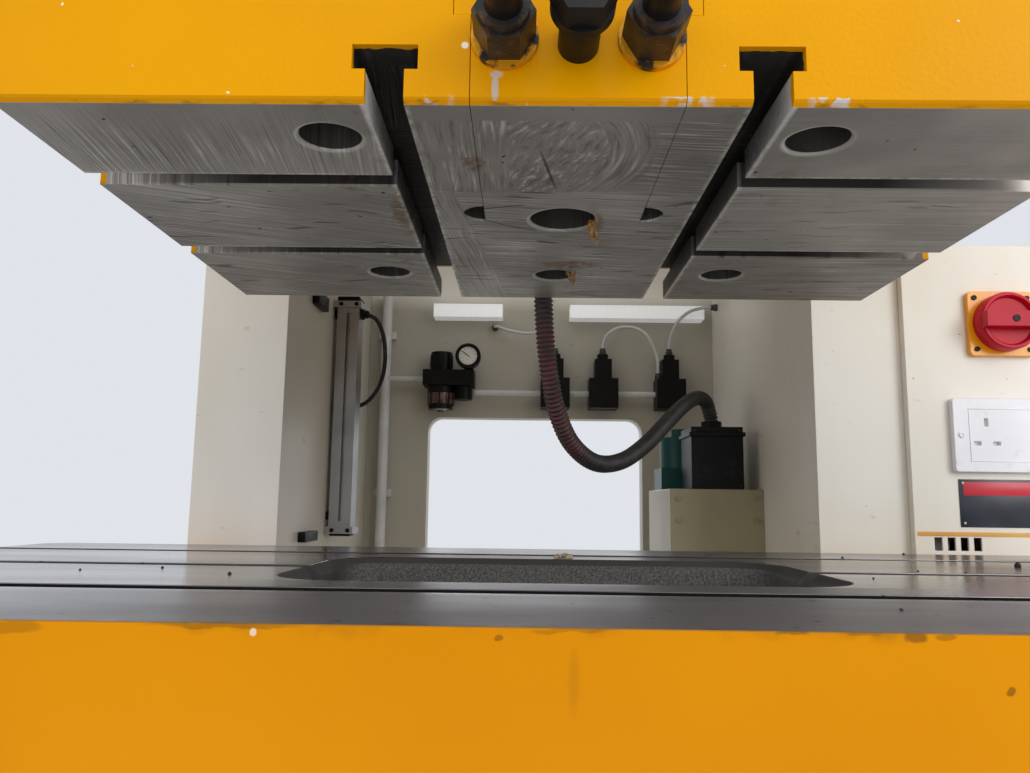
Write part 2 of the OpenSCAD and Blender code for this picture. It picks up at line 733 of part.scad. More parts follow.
module one_belt(y) {
    translate([0, y, pinion_z]) rotate([90, 0, 0]) rotate([0, 0, 180 - belt_lean])
        rotate_extrude(angle = 180 + 2 * belt_lean, $fn = 96) translate([belt_top_r1, 0]) belt_section();
    translate([0, y, motor_z]) rotate([90, 0, 0]) rotate([0, 0, belt_lean])
        rotate_extrude(angle = 180 - 2 * belt_lean, $fn = 96) translate([belt_top_r2, 0]) belt_section();
    both_sides() translate([0, y, pinion_z]) rotate([0, -belt_lean, 0]) translate([belt_top_r1, 0, 0])
        translate([0, 0, -0.5]) linear_extrude(belt_run + 1) belt_section();
}

module v_belts() color("#26262A") place()
    for (k = [0 : belt_n - 1]) one_belt(first_groove + k * groove_pitch);

module guard_outline(more) {
    r1 = wheel_r + 22 + more;
    r2 = pulley_r + 30 + more;
    lean = asin((r1 - r2) / (motor_z - pinion_z));
    translate([0, pinion_z]) circle(r1, $fn = 96);
    translate([0, motor_z]) circle(r2, $fn = 96);
    polygon([[r1 * cos(lean), pinion_z + r1 * sin(lean)], [r2 * cos(lean), motor_z + r2 * sin(lean)],
        [-r2 * cos(lean), motor_z + r2 * sin(lean)], [-r1 * cos(lean), pinion_z + r1 * sin(lean)]]);
}

module flywheel_guard() color(yellow) place() {
    back = wheel_y + wheel_w + 16;
    difference() {
        along_y([frame_rear, back]) guard_outline(sheet_t);
        along_y([frame_rear - 1, back - sheet_t]) guard_outline(0);
        bar_y(0, pinion_z, clutch_r + 12, [back - 4, back + 1]);
        for (x = [-5 : 5]) for (z = [0 : 2]) translate([x * 24 - 6, 0, pinion_z + 400 + z * 90])
            block([0, 12], [back - 4, back + 1], [0, 60]);
    }
    both_sides() for (z = [pinion_z - 120, pinion_z + 120])
        block([wheel_r + 8, cheek_out - 4], [frame_rear, frame_rear + 6], [z - 25, z + 25]);
}

// Crown front

module crown_cover() color(yellow) place() difference() {
    union() {
        block([-cheek_in - 30, cheek_in + 30], [-crown_front - 22, -crown_front],
            [gib_top + 30, frame_h - 155]);
        bar_y(0, crank_z, 150, [-crown_front - 32, -crown_front - 20]);
    }
    block([-cheek_in - 27, cheek_in + 27], [-crown_front - 19, -crown_front + 1],
        [gib_top + 33, frame_h - 158]);
    bar_y(0, crank_z, 22, [-crown_front - 33, -crown_front]);
}

module angle_dial() color("#F2F2EE") place() difference() {
    bar_y(0, crank_z, 128, [-crown_front - 35, -crown_front - 32]);
    bar_y(0, crank_z, 22, [-crown_front - 36, -crown_front - 31]);
    for (a = [0 : 10 : 350]) translate([0, 0, crank_z]) rotate([0, a, 0])
        block([a % 90 == 0 ? 96 : 106, 118], [-crown_front - 36, -crown_front - 34], [-1, 1]);
}

module angle_pointer() color("#B8001E") place() difference() {
    union() {
        bar_y(0, crank_z, 30, [-crown_front - 43, -crown_front - 37]);
        along_y([-crown_front - 43, -crown_front - 37]) polygon([[-14, crank_z], [14, crank_z],
            [3, crank_z - 100], [-3, crank_z - 100]]);
    }
    bar_y(0, crank_z, 18, [-crown_front - 44, -crown_front - 36]);
}

// Air system

module balance_cylinders() color("#9A9C9E") place() both_sides() difference() {
    union() {
        bar_z(balance_x, balance_y, balance_r, [gib_top + 15, gib_top + 230]);
        block([balance_x - 20, balance_x + 20], [-crown_front + plate_t, balance_y],
            [gib_top + 120, gib_top + 180]);
    }
    bar_z(balance_x, balance_y, balance_r - 7, [gib_top + 30, gib_top + 220]);
    bar_z(balance_x, balance_y, 8 + run_gap, [gib_top + 14, gib_top + 40]);
}

module balance_rods() color("#C4C6C8") place() both_sides() {
    bar_z(balance_x, balance_y, 8, [slide_top - 58, gib_top + 60]);
    bar_z(balance_x, balance_y, balance_r - 7 - run_gap, [gib_top + 50, gib_top + 74]);
}

// Receiver on two arms that stand out from the rear plate
module air_tank() color("#5C7480") place() {
    r = 105;
    along = [620, 260];
    bar_x(along[0], along[1], r, [-210, 210]);
    both_sides() translate([210, along[0], along[1]]) rotate([0, 90, 0]) rotate_extrude()
        intersection() {
            translate([0, -r * 1.1]) circle(r * 1.52);
            square([r, 60]);
        }
    for (x = [-170, 140])
        block([x, x + 30], [along[0] - 60, rear_plate_y], [along[1] - r - 6, along[1] - 70]);
}

module air_unit() color("#3A4048") place() {
    block([-212, -120], [rear_plate_y - 48, rear_plate_y], [rear_z + 38, rear_z + 66]);
    bar_z(-181, rear_plate_y - 24, 22, [rear_z - 4, rear_z + 38]);
    bar_z(-181, rear_plate_y - 24, 19, [rear_z + 66, rear_z + 100]);
    bar_z(-140, rear_plate_y - 24, 16, [rear_z + 14, rear_z + 38]);
}

module gauge() color("#2A2A2E") place() {
    bar_y(-131, rear_z + 90, 22, [rear_plate_y - 54, rear_plate_y - 34]);
    bar_y(-131, rear_z + 90, 8, [rear_plate_y - 34, rear_plate_y - 24]);
    block([-139, -123], [rear_plate_y - 32, rear_plate_y - 16], [rear_z + 66, rear_z + 84]);
}

module valve_blocks() color("#26282C") place()
    for (x = valve_x) {
        block([x - valve_half, x + valve_half], [rear_plate_y - 44, rear_plate_y],
            [rear_z, rear_z + 54]);
        block([x - 15, x + 15], [rear_plate_y - 38, rear_plate_y - 4], [rear_z + 54, rear_z + 90]);
        bar_z(x, rear_plate_y - 22, 10, [rear_z + 90, rear_z + 100]);
    }

module air_pipes() color("#D8D8D4") place() {
    y = rear_plate_y - 18;
    bar_z(-284, y, 9, [bed_h, rear_z + 208]);
    bar_x(y, rear_z + 52, 5, [-276, -212]);
    for (z = [rear_z - 162, rear_z + 128])
        block([-300, -268], [rear_plate_y - 9, rear_plate_y], [z, z + 14]);
    bar_x(y, rear_z + 28, 5, [-120, valve_x[0] - valve_half]);
    for (k = [1, 2]) bar_x(y, rear_z + 28, 5, [valve_x[k - 1] + valve_half, valve_x[k] - valve_half]);
}

// Light curtain bar: a slotted extrusion between two end brackets on the left cheek
module sensor_bar() color("#B8BABC") place() {
    x = -cheek_in + 6;
    y = sensor_y;
    z1 = bolster_top + 12;
    z2 = z1 + sensor_h;
    difference() {
        block([x, x + sensor_w], [y, y + sensor_d], [z1, z2]);
        block([x + 14, x + 19], [y - 1, y + 8], [z1 + 10, z2 - 18]);
        block([x + 11, x + 22], [y + 3, y + 8], [z1 + 10, z2 - 18]);
    }
    for (z = [z1 - 8, z2 - 10])
        block([-cheek_in, x + sensor_w + 4], [y - 4, y + sensor_d + 4], [z, z + 10]);
}

module lamp_bars() color("#F4F4F0") place() {
    for (x = [[-197, -71], [53, 297]])
        block(x, [rear_plate_y - 34, rear_plate_y], [rear_z + 166, rear_z + 190]);
}

// Electrical cabinet

module cabinet() color(cream) place() difference() {
    union() {
        difference() {
            block([cheek_out, cab_x2], [cab_y, cab_y + cab_d], [cab_z, cab_top]);
            block([cheek_out + sheet_t, cab_x2 + 1], [cab_y + sheet_t, cab_y + cab_d - sheet_t],
                [cab_z + sheet_t, cab_top - sheet_t]);
        }
        for (z = [cab_z + 130, cab_top - 190]) {
            bar_z(pin_x, pin_y, 7, [z, z + 30]);
            bar_z(pin_x, pin_y, 3.5, [z, z + 62]);
            block([cab_x2 - 30, pin_x], [pin_y - 8, pin_y - 4], [z, z + 30]);
        }
    }
    for (k = [0 : 3]) block([cheek_out + 22 + k * 15, cheek_out + 31 + k * 15],
        [cab_y - 1, cab_y + sheet_t + 1], [bolster_top + 3, bolster_top + 18]);
}

module cabinet_door() color(cream) place() {
    difference() {
        block([cab_x2 + door_gap, cab_x2 + door_gap + sheet_t], [cab_y + 1, cab_y + cab_d - 1],
            [cab_z + 1, cab_top - 1]);
        bar_x(cab_y + 40, latch_z, 9, [cab_x2, cab_x2 + 6]);
    }
    for (z = [cab_z + 130, cab_top - 190]) difference() {
        union() {
            bar_z(pin_x, pin_y, 7, [z + 31, z + 61]);
            block([cab_x2 + door_gap, cab_x2 + door_gap + sheet_t], [pin_y - 20, pin_y],
                [z + 31, z + 61]);
            block([cab_x2 + door_gap, pin_x], [pin_y - 1.5, pin_y + 1.5], [z + 31, z + 61]);
        }
        bar_z(pin_x, pin_y, 3.5 + run_gap, [z + 30, z + 63]);
    }
}

module door_latch() color(black_steel) place() {
    bar_x(cab_y + 40, latch_z, 8.95, [cab_x2 - 14, cab_x2 + 14]);
    block([cab_x2 + 14, cab_x2 + 26], [cab_y + 31, cab_y + 49], [latch_z - 45, latch_z + 15]);
    block([cab_x2 - 12, cab_x2 - 8], [cab_y + 6, cab_y + 46], [latch_z - 8, latch_z + 8]);
}

module switch_plate() color(yellow) place() {
    x = switch_c[0];
    z = switch_c[1];
    s = switch_s / 2;
    difference() {
        along_y([cab_y - 8, cab_y]) rounded([x - s, x + s], [z - s, z + s], 6);
        bar_y(x, z, 9, [cab_y - 9, cab_y + 1]);
    }
}

module switch_handle() color("#B8001E") place() {
    x = switch_c[0];
    z = switch_c[1];
    bar_y(x, z, 8.7, [cab_y - 9, cab_y - 1]);
    bar_y(x, z, 34, [cab_y - 22, cab_y - 8.3]);
    block([x - 33, x + 33], [cab_y - 38, cab_y - 21], [z - 9, z + 9]);
}

module socket_plate() color("#ECECF0") place() difference() {
    x = cheek_out + 47;
    z = bolster_top + 93;
    along_y([cab_y - 9, cab_y]) rounded([x, x + 146], [z, z + 86], 4);
    for (k = [0, 1]) translate([x + 38 + k * 70, 0, z + 43]) {
        block([-2, 2], [cab_y - 10, cab_y - 4], [10, 19]);
        for (s = [-11, 11]) block([s - 4, s + 4], [cab_y - 10, cab_y - 4], [-12, -8]);
    }
}

// Lifting eyes on the crown
module lifting_eyes() color(black_steel) place() both_sides() for (y = [-60, 500])
    translate([cheek_in + 40, y, frame_h]) {
        cylinder(r = 30, h = 12);
        translate([0, 0, 48]) rotate([0, 90, 0]) rotate_extrude() translate([30, 0]) circle(9, $fn = 24);
    }

// Lubrication and cable boxes behind the bed

module shelf_box() color(cream) place()
    block([cheek_in - 135, cheek_in], [rear_plate_y - 304, rear_plate_y - 100], [bed_h, shelf_top]);

module junction_box() color(black_steel) place() {
    x = cheek_in - 66;
    block([x - 36, x + 40], [562, 640], [shelf_top, shelf_top + 91]);
    block([x - 39, x + 43], [559, 643], [shelf_top + 77, shelf_top + 83]);
    bar_z(x, 590, 15, [shelf_top + 91, shelf_top + 101]);
}

module grease_pump() color("#2F6E6A") place() {
    x = cheek_in - 92;
    y = rear_plate_y - 152;
    block([x - 36, x + 36], [y - 36, y + 36], [shelf_top, shelf_top + 35]);
    bar_z(x, y, 32, [shelf_top + 35, shelf_top + 85]);
    bar_z(x, y, 14, [shelf_top + 85, shelf_top + 99]);
}

function unit(v) = v / norm(v);
hose_n = 64;
hose_last = len(hose_path) - 1;

// Point at t between 0 and 1 along the smooth route through the chosen points
function route(t) =
    let (u = t * hose_last, i = min(floor(u), hose_last - 1), f = u - i)
    let (a = hose_path[max(i - 1, 0)], b = hose_path[i], c = hose_path[i + 1])
    let (d = hose_path[min(i + 2, hose_last)])
    0.5 * (2 * b + (c - a) * f + (2 * a - 5 * b + 4 * c - d) * f * f + (3 * b - a - 3 * c + d) * f * f * f);

function hose_ring(k) =
    let (p = route(k / hose_n), q = route(min((k + 0.5) / hose_n, 1)) - route(max((k - 0.5) / hose_n, 0)))
    let (along = k == 0 || k == hose_n ? [0, 0, -1] : unit(q))
    let (side = unit(cross(along, [0.6, 0.8, 0])), over = cross(along, side))
    [for (a = [0 : 36 : 324]) p + hose_r * (cos(a) * side + sin(a) * over)];

module hose() color("#5A5C58") place() {
    rings = [for (k = [0 : hose_n]) each hose_ring(k)];
    sides = [for (k = [0 : hose_n - 1]) for (j = [0 : 9]) let (n = (j + 1) % 10)
        [k * 10 + j, k * 10 + n, k * 10 + 10 + n, k * 10 + 10 + j]];
    polyhedron(rings, concat([[for (j = [9 : -1 : 0]) j]], sides,
        [[for (j = [0 : 9]) hose_n * 10 + j]]));
}

// Elbow box that takes the conduit into the slide
module slide_gland() color(black_steel) place() {
    block([-27, 9], [slide_back, slide_back + 35], [slide_z + 45, slide_z + 80]);
    bar_z(-9, slide_back + 17, 14, [slide_z + 37, slide_z + 45]);
    bar_y(-9, slide_z + 66, 6, [slide_back + 35, slide_back + 38]);
}

// Controls

module hand_boxes() color("#C8C8C4") place() {
    both_sides() difference() {
        block([cheek_in - 20, cheek_out + 20], [-bed_front - 96, -bed_front],
            [hand_top - 130, hand_top]);
        bar_z(cheek_in + 20, -bed_front - 50, 21, [hand_top - 30, hand_top + 1]);
        bar_z(cheek_in + 94, -bed_front - 50, 17, [hand_top - 30, hand_top + 1]);
    }
    // The left box has a blank plug where the right one has its stop button
    bar_z(-cheek_in - 94, -bed_front - 50, 17, [hand_top - 30, hand_top + 2]);
}

module palm_button(x) bar_z(x, -bed_front - 50, 20.7, [hand_top - 22, hand_top + 16]);

module palm_button_left() color("#2E8B57") place() palm_button(-cheek_in - 20);

module palm_button_right() color("#2E8B57") place() palm_button(cheek_in + 20);

module stop_button() color("#B8001E") place() {
    bar_z(cheek_in + 94, -bed_front - 50, 16.7, [hand_top - 22, hand_top + 12]);
    bar_z(cheek_in + 94, -bed_front - 50, 20, [hand_top + 8, hand_top + 22]);
}

left_cheek();
right_cheek();
frame_plates();
frame_bolts();
bolster();
slide();
clamp_block();
clamp_studs();
clamp_nuts();
jack_screw();
gibs();
crankshaft();
crank_bushes();
main_gear();
connecting_rod();
rod_cap();
rod_bolts();
adjusting_screw();
ball_seat();
ball_retainer();
pinion_shaft();
shaft_bearings();
flywheel();
wheel_bearing();
clutch_drum();
motor();
motor_pulley();
motor_bracket();
v_belts();
flywheel_guard();
crown_cover();
angle_dial();
angle_pointer();
balance_cylinders();
balance_rods();
knockout_bar();
knockout_stops();
air_tank();
air_unit();
gauge();
valve_blocks();
air_pipes();
sensor_bar();
lamp_bars();
cabinet();
cabinet_door();
door_latch();
switch_plate();
switch_handle();
lifting_eyes();
socket_plate();
shelf_box();
junction_box();
grease_pump();
hose();
slide_gland();
hand_boxes();
palm_button_left();
palm_button_right();
stop_button();
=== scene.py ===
# Mechanical stamping press, seen from low in front of its die space.
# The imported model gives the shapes. This script adds camera, light, conduit, finishes and the small fittings.
import functools
import math
import random

import bmesh
import bpy
from mathutils import Matrix, Vector


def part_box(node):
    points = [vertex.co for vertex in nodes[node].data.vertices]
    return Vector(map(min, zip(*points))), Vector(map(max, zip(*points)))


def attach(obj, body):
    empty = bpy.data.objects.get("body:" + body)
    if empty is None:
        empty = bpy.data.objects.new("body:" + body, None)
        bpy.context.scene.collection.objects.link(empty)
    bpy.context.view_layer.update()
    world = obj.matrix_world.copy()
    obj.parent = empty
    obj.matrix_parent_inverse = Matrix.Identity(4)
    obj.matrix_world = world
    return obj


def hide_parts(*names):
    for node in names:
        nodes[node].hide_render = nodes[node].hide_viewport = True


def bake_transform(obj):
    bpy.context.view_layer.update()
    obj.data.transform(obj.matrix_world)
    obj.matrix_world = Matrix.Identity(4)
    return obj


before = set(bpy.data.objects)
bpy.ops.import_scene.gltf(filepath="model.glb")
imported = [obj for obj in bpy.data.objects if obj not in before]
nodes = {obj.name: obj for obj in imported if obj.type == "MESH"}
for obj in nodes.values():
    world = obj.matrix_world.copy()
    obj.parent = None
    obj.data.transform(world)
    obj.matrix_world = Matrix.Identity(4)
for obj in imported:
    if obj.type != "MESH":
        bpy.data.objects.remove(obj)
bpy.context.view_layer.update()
scene = bpy.context.scene
print("frame loaded:", len(nodes), "nodes")


def putObject(name, data):
    piece = bpy.data.objects.new(name, data)
    scene.collection.objects.link(piece)
    return piece


# Camera, fitted to the photo's straight edges
cameraSet = {
    "place": (-0.0273, -0.9741, 0.9494),
    "yaw": -0.013,
    "pitch": 0.1423,
    "roll": 0.01295,
    "sensor": 36.0,
    "lens": 28.76,
}


def makeCamera():
    settings = cameraSet
    camera = bpy.data.cameras.new("photoCamera")
    camera.sensor_width = settings["sensor"]
    camera.lens = settings["lens"]
    camera.clip_start = 0.02
    turn = Matrix.Rotation(-settings["yaw"], 4, "Z") @ Matrix.Rotation(math.pi / 2 + settings["pitch"], 4, "X")
    turn = turn @ Matrix.Rotation(settings["roll"], 4, "Z")
    scene.camera = putObject("photoCamera", camera)
    scene.camera.matrix_world = Matrix.Translation(settings["place"]) @ turn


makeCamera()
print("camera placed")


# Small tools that every finish uses
def linear(hexColour):
    parts = [int(hexColour[i : i + 2], 16) / 255 for i in (1, 3, 5)]
    return [c / 12.92 if c <= 0.04045 else ((c + 0.055) / 1.055) ** 2.4 for c in parts] + [1.0]


mathNames = {
    "plus": "ADD", "minus": "SUBTRACT", "times": "MULTIPLY", "over": "DIVIDE", "least": "MINIMUM", "most": "MAXIMUM",
    "above": "GREATER_THAN", "below": "LESS_THAN", "size": "ABSOLUTE", "root": "SQRT", "angle": "ARCTAN2",
}
shortNames = {
    # the node, its inputs in the order they are given, its output, its settings
    "apart": ("SeparateXYZ", (0,), slice(0, 3), {}),
    "join": ("CombineXYZ", (0, 1, 2), 0, {}),
    "noise": ("TexNoise", ("Vector", "Scale", "Detail", "Roughness"), 0, {}),
    "range": ("MapRange", (0, 1, 2, 3, 4), 0, {}),
    "blend": ("Mix", (0, 2, 3), 0, {}),
    "tint": ("Mix", (0, 6, 7), 2, {"data_type": "RGBA"}),
} | {short: ("Math", (0, 1), 0, {"operation": operation}) for short, operation in mathNames.items()}


def addNode(tree, kind, *inputs, out=0, **settings):
    # the inputs come in the order of the short name's sockets, or as one dictionary
    if kind in mathNames and len(inputs) > 2:
        inputs = (addNode(tree, kind, *inputs[:-1]), inputs[-1])
    kind, sockets, out, settings = shortNames.get(kind, (kind, (), out, settings))
    node = tree.nodes.new("ShaderNode" + kind)
    for key, value in settings.items():
        setattr(node, key, value)
    given = inputs[0] if inputs and isinstance(inputs[0], dict) else dict(zip(sockets, inputs))
    for key, value in given.items():
        if isinstance(value, bpy.types.NodeSocket):
            tree.links.new(value, node.inputs[key])
        else:
            node.inputs[key].default_value = linear(value) if isinstance(value, str) else value
    return node.outputs[out]


def newFinish(name, roughness=0.5, metallic=0.0, coat=0.0, specular=0.5, others=None):
    # gives what adds nodes to the material, its coordinates in metres, and what closes it
    material = bpy.data.materials.new(name)
    material.use_nodes = True
    tree = material.node_tree
    same = {"Roughness": roughness, "Metallic": metallic, "Coat Weight": coat, "Specular IOR Level": specular}
    for socket, value in (same | (others or {})).items():
        tree.nodes["Principled BSDF"].inputs[socket].default_value = value
    place = addNode(tree, "TexCoord", out="Object")
    return functools.partial(addNode, tree), place, functools.partial(closeFinish, material)


def closeFinish(material, colour, roughness=None, metallic=None, height=None, depth=0.0002, strength=1.0, glow=None):
    tree = material.node_tree
    bump = None
    if height is not None:
        bump = addNode(tree, "Bump", {"Height": height, "Distance": depth, "Strength": strength}, out="Normal")
    varied = {"Base Color": colour, "Roughness": roughness, "Metallic": metallic, "Normal": bump}
    for socket, value in (varied | {"Emission Color": glow}).items():
        if value is not None:
            tree.links.new(value, tree.nodes["Principled BSDF"].inputs[socket])
    return material


def patches(add, place, size, low=0.35, high=0.65, stretch=(1, 1, 1), detail=4.0):
    # uneven patches about size millimetres across, 0 outside them and 1 inside
    spread = add("Mapping", {"Vector": place, "Scale": stretch})
    return add("range", add("noise", spread, 1000 / size, detail), low, high)


def unevenness(add, place, size, detail, reach):
    # pushes to and fro about size millimetres across, by half of reach each way
    return add("times", add("minus", add("noise", place, 1000 / size, detail), 0.5), reach)


def within(add, value, low, high, soft=0.001):
    # 1 where value is between low and high, with a soft edge
    rising = add("range", value, low - soft, low + soft)
    return add("times", rising, add("range", value, high - soft, high + soft, 1.0, 0.0))


def squares(add, a, b):
    return add("plus", add("times", a, a), add("times", b, b))


def spots(add, across, up, marks, soft=0.35):
    # round marks at listed places: across, up, half width, half height, strength
    found = []
    for x, z, wide, tall, strength in marks:
        a, b = add("over", add("minus", across, x), wide), add("over", add("minus", up, z), tall)
        found.append(add("range", squares(add, a, b), 1.0 - soft, 1.0 + soft, strength, 0.0))
    return add("most", 0.0, *found)


def streaks(add, across, along, width, length, seed):
    # thin marks of a cutter, width and length in millimetres
    stretched = add("join", add("times", across, 1000 / width), add("times", along, 1000 / length), seed)
    return add("noise", stretched, 1.0, 3.0, 0.62)


def layered(add, skin, *layers):
    # colours laid over a skin one after another: where, how much of it shows, colour
    for where, share, colour in layers:
        skin = add("tint", add("times", where, share), skin, colour)
    return skin


# Small tools that every piece uses
def addMesh(name, bm, finishes, body=None, smoothAngle=35):
    mesh = bpy.data.meshes.new(name)
    bmesh.ops.recalc_face_normals(bm, faces=bm.faces)
    for face in bm.faces:
        face.smooth = True
    bm.to_mesh(mesh)
    bm.free()
    mesh.set_sharp_from_angle(angle=math.radians(smoothAngle))
    for finish in finishes:
        mesh.materials.append(finish)
    piece = putObject(name, mesh)
    if body:
        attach(piece, body)
    return piece


def finishNew(bm, before, finish):
    # gives a finish to the faces made since before
    for face in set(bm.faces) - before:
        face.material_index = finish


def addBlock(bm, low, high, edge=0.0, finish=0):
    # a block between two corners, its edges rounded
    before = set(bm.faces)
    made = bmesh.ops.create_cube(bm, size=1.0)["verts"]
    bmesh.ops.scale(bm, vec=[b - a for a, b in zip(low, high)], verts=made)
    bmesh.ops.translate(bm, vec=[(a + b) / 2 for a, b in zip(low, high)], verts=made)
    if edge:
        edges = list({e for v in made for e in v.link_edges})
        bmesh.ops.bevel(
            bm, geom=edges, offset=edge, offset_type="OFFSET", segments=2, profile=0.5, affect="EDGES", material=-1
        )
    finishNew(bm, before, finish)


def addTurned(bm, profile, centre, axis="Y", finish=0, steps=40):
    # a profile of (radius, distance along the axis), spun round the axis through centre
    before = set(bm.faces)
    along = Vector([letter == axis for letter in "XYZ"])
    side = Vector((0, 1, 0)) if axis == "X" else Vector((1, 0, 0))
    verts = [bm.verts.new(Vector(centre) + side * r + along * d) for r, d in profile]
    edges = [bm.edges.new(pair) for pair in zip(verts, verts[1:])]
    bmesh.ops.spin(bm, geom=verts + edges, cent=centre, axis=along, angle=2 * math.pi, steps=steps, use_merge=True)
    spun = list({v for f in set(bm.faces) - before for v in f.verts})
    bmesh.ops.remove_doubles(bm, verts=spun, dist=0.000002)
    finishNew(bm, before, finish)


def addScrew(bm, place, out, radius, height, sides=20, finish=0):
    # a screw head that stands on place, a hexagon where sides is 6
    before = set(bm.faces)
    out = Vector(out)
    turn = Matrix.Translation(Vector(place) + out * height / 2) @ out.to_track_quat("Z", "Y").to_matrix().to_4x4()
    bmesh.ops.create_cone(
        bm, cap_ends=True, segments=sides, radius1=radius, radius2=radius, depth=height, matrix=turn
    )
    bm.normal_update()
    cap = [f for f in set(bm.faces) - before if f.normal.dot(out) > 0.9]
    bmesh.ops.inset_individual(bm, faces=cap, thickness=radius * 0.12, depth=height * 0.12)
    if sides != 6:
        bmesh.ops.inset_individual(bm, faces=cap, thickness=radius * 0.35, depth=0)
        bmesh.ops.inset_individual(bm, faces=cap, thickness=radius * 0.02, depth=-height * 0.5)
    finishNew(bm, before, finish)


def dress(material, *names):
    for name in names:
        for slot in nodes[name].material_slots:
            slot.material = material


def smoothLine(route, step):
    # a smooth line through the route's points, then points along it at even steps
    points = [Vector(p) for p in route]
    points = [points[0] * 2 - points[1]] + points + [points[-1] * 2 - points[-2]]
    fine = []
    for a, b, c, d in zip(points, points[1:], points[2:], points[3:]):
        for t in [i / 40 for i in range(40)]:
            fine.append(
                (b * 2 + (c - a) * t + (a * 2 - b * 5 + c * 4 - d) * t * t + (b * 3 - a - c * 3 + d) * t * t * t) / 2
            )
    fine.append(points[-2])
    spans = [(q - p).length for p, q in zip(fine, fine[1:])]
    whole = sum(spans)
    count = round(whole / step)
    line, gone, k = [], 0.0, 0
    for i in range(count + 1):
        goal = whole * i / count
        while k < len(spans) - 1 and gone + spans[k] < goal:
            gone += spans[k]
            k += 1
        line.append(fine[k].lerp(fine[k + 1], min(1.0, (goal - gone) / spans[k])))
    return line, whole


def tubeCurve(name, line, diameter, resolution):
    curve = bpy.data.curves.new(name, "CURVE")
    curve.dimensions = "3D"
    curve.bevel_depth = diameter / 2
    curve.bevel_resolution = resolution
    curve.use_fill_caps = True
    spline = curve.splines.new("POLY")
    spline.points.add(len(line) - 1)
    for point, p in zip(spline.points, line):
        point.co = (*p, 1.0)
    return curve, spline


def meshOf(data):
    # a curve or words as a mesh
    holder = putObject("holder", data)
    bpy.context.view_layer.update()
    mesh = bpy.data.meshes.new_from_object(holder.evaluated_get(bpy.context.evaluated_depsgraph_get()))
    bpy.data.objects.remove(holder)
    return mesh


# Conduit: corrugated PVC over steel, from the slide's gland down and back to the junction box
conduitSet = {
    "route": [
        (-0.009, -0.094, 1.206), (-0.009, -0.094, 1.18), (-0.008, -0.093, 1.155), (-0.006, -0.089, 1.127),
        (-0.001, -0.08, 1.09), (0.008, -0.064, 1.052), (0.026, -0.04, 1.018), (0.056, -0.004, 0.999),
        (0.092, 0.04, 1.004), (0.128, 0.084, 1.028), (0.162, 0.13, 1.06), (0.195, 0.176, 1.09),
        (0.222, 0.216, 1.106), (0.241, 0.245, 1.104), (0.25, 0.258, 1.086), (0.252, 0.26, 1.076),
    ],
    "diameter": 0.021,
    "rib": 0.005,
    "grooveDepth": 0.0016,
    "reddened": (0.1, 0.36),  # from and to, as shares of its length
}


def conduitFinish():
    # ribbed PVC skin: matt, with painted shade in the grooves, its upper part turned brown red
    add, place, close = newFinish("conduitPvc")
    along = add("Attribute", out="Fac", attribute_name="alongConduit")
    groove = add("Attribute", out="Fac", attribute_name="conduitGroove")
    skin = add("tint", patches(add, place, 14, 0.4, 0.7), "#2C2E2D", "#42443F")
    stretch = within(add, along, *conduitSet["reddened"], 0.03)
    red = add("times", stretch, add("minus", 1.0, groove), patches(add, place, 22, 0.25, 0.5))
    # painted shade: the grooves are darker than the ribs
    skin = layered(add, skin, (red, 0.8, "#8A3A40"), (groove, 0.6, "#1C1D1C"))
    return close(skin, height=patches(add, place, 1.5, 0.3, 0.7))  # dust, drawn as coarse as it needs to show


def makeConduit():
    settings = conduitSet
    line, whole = smoothLine(settings["route"], settings["rib"] / 4)
    curve, spline = tubeCurve("conduit", line, settings["diameter"], 6)
    narrow = 1 - settings["grooveDepth"] / curve.bevel_depth
    for i, point in enumerate(spline.points):
        point.radius = (1.0, 1.0, narrow, narrow)[i % 4]
    mesh = meshOf(curve)
    mesh.name = "conduit"
    ring = len(mesh.vertices) // len(line)
    along = mesh.attributes.new("alongConduit", "FLOAT", "POINT")
    groove = mesh.attributes.new("conduitGroove", "FLOAT", "POINT")
    for i in range(len(mesh.vertices)):
        step = min(i // ring, len(line) - 1)
        along.data[i].value = step / (len(line) - 1)
        groove.data[i].value = 1.0 if step % 4 > 1 else 0.0
    mesh.materials.clear()
    mesh.materials.append(conduitFinish())
    for face in mesh.polygons:
        face.use_smooth = True
    piece = putObject("conduit", mesh)
    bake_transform(piece)
    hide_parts("hose")
    print("conduit:", round(whole * 1000), "mm long,", len(mesh.vertices), "points")


makeConduit()


# Floor and soft studio light
studioSet = {
    "floor": "#D2D1CC",
    "floorWorn": "#C6C5C0",
    "sky": "#E9ECF2",
    "skyStrength": 0.92,
    "lamps": [
        # name, place, aims at, width, height, watts
        ("overheadSoft", (0.6, -2.6, 3.4), (0.2, -0.2, 1.0), 3.6, 2.0, 16),
        ("leftWindow", (-2.6, -2.0, 1.5), (0.1, -0.2, 1.1), 2.0, 2.0, 13),
        ("rightWindow", (2.2, -2.6, 2.0), (0.9, 0.0, 1.1), 1.6, 1.6, 38),
        ("backWindow", (0.0, 3.6, 2.4), (0, 0.2, 1.2), 3.0, 2.0, 40),
        ("lowFront", (0.0, -1.9, 0.35), (0, -0.25, 1.2), 2.4, 0.6, 5),
        ("throatLamp", (0.0, 0.3, 1.42), (0.0, 0.5, 1.1), 0.5, 0.2, 0.3),
    ],
}


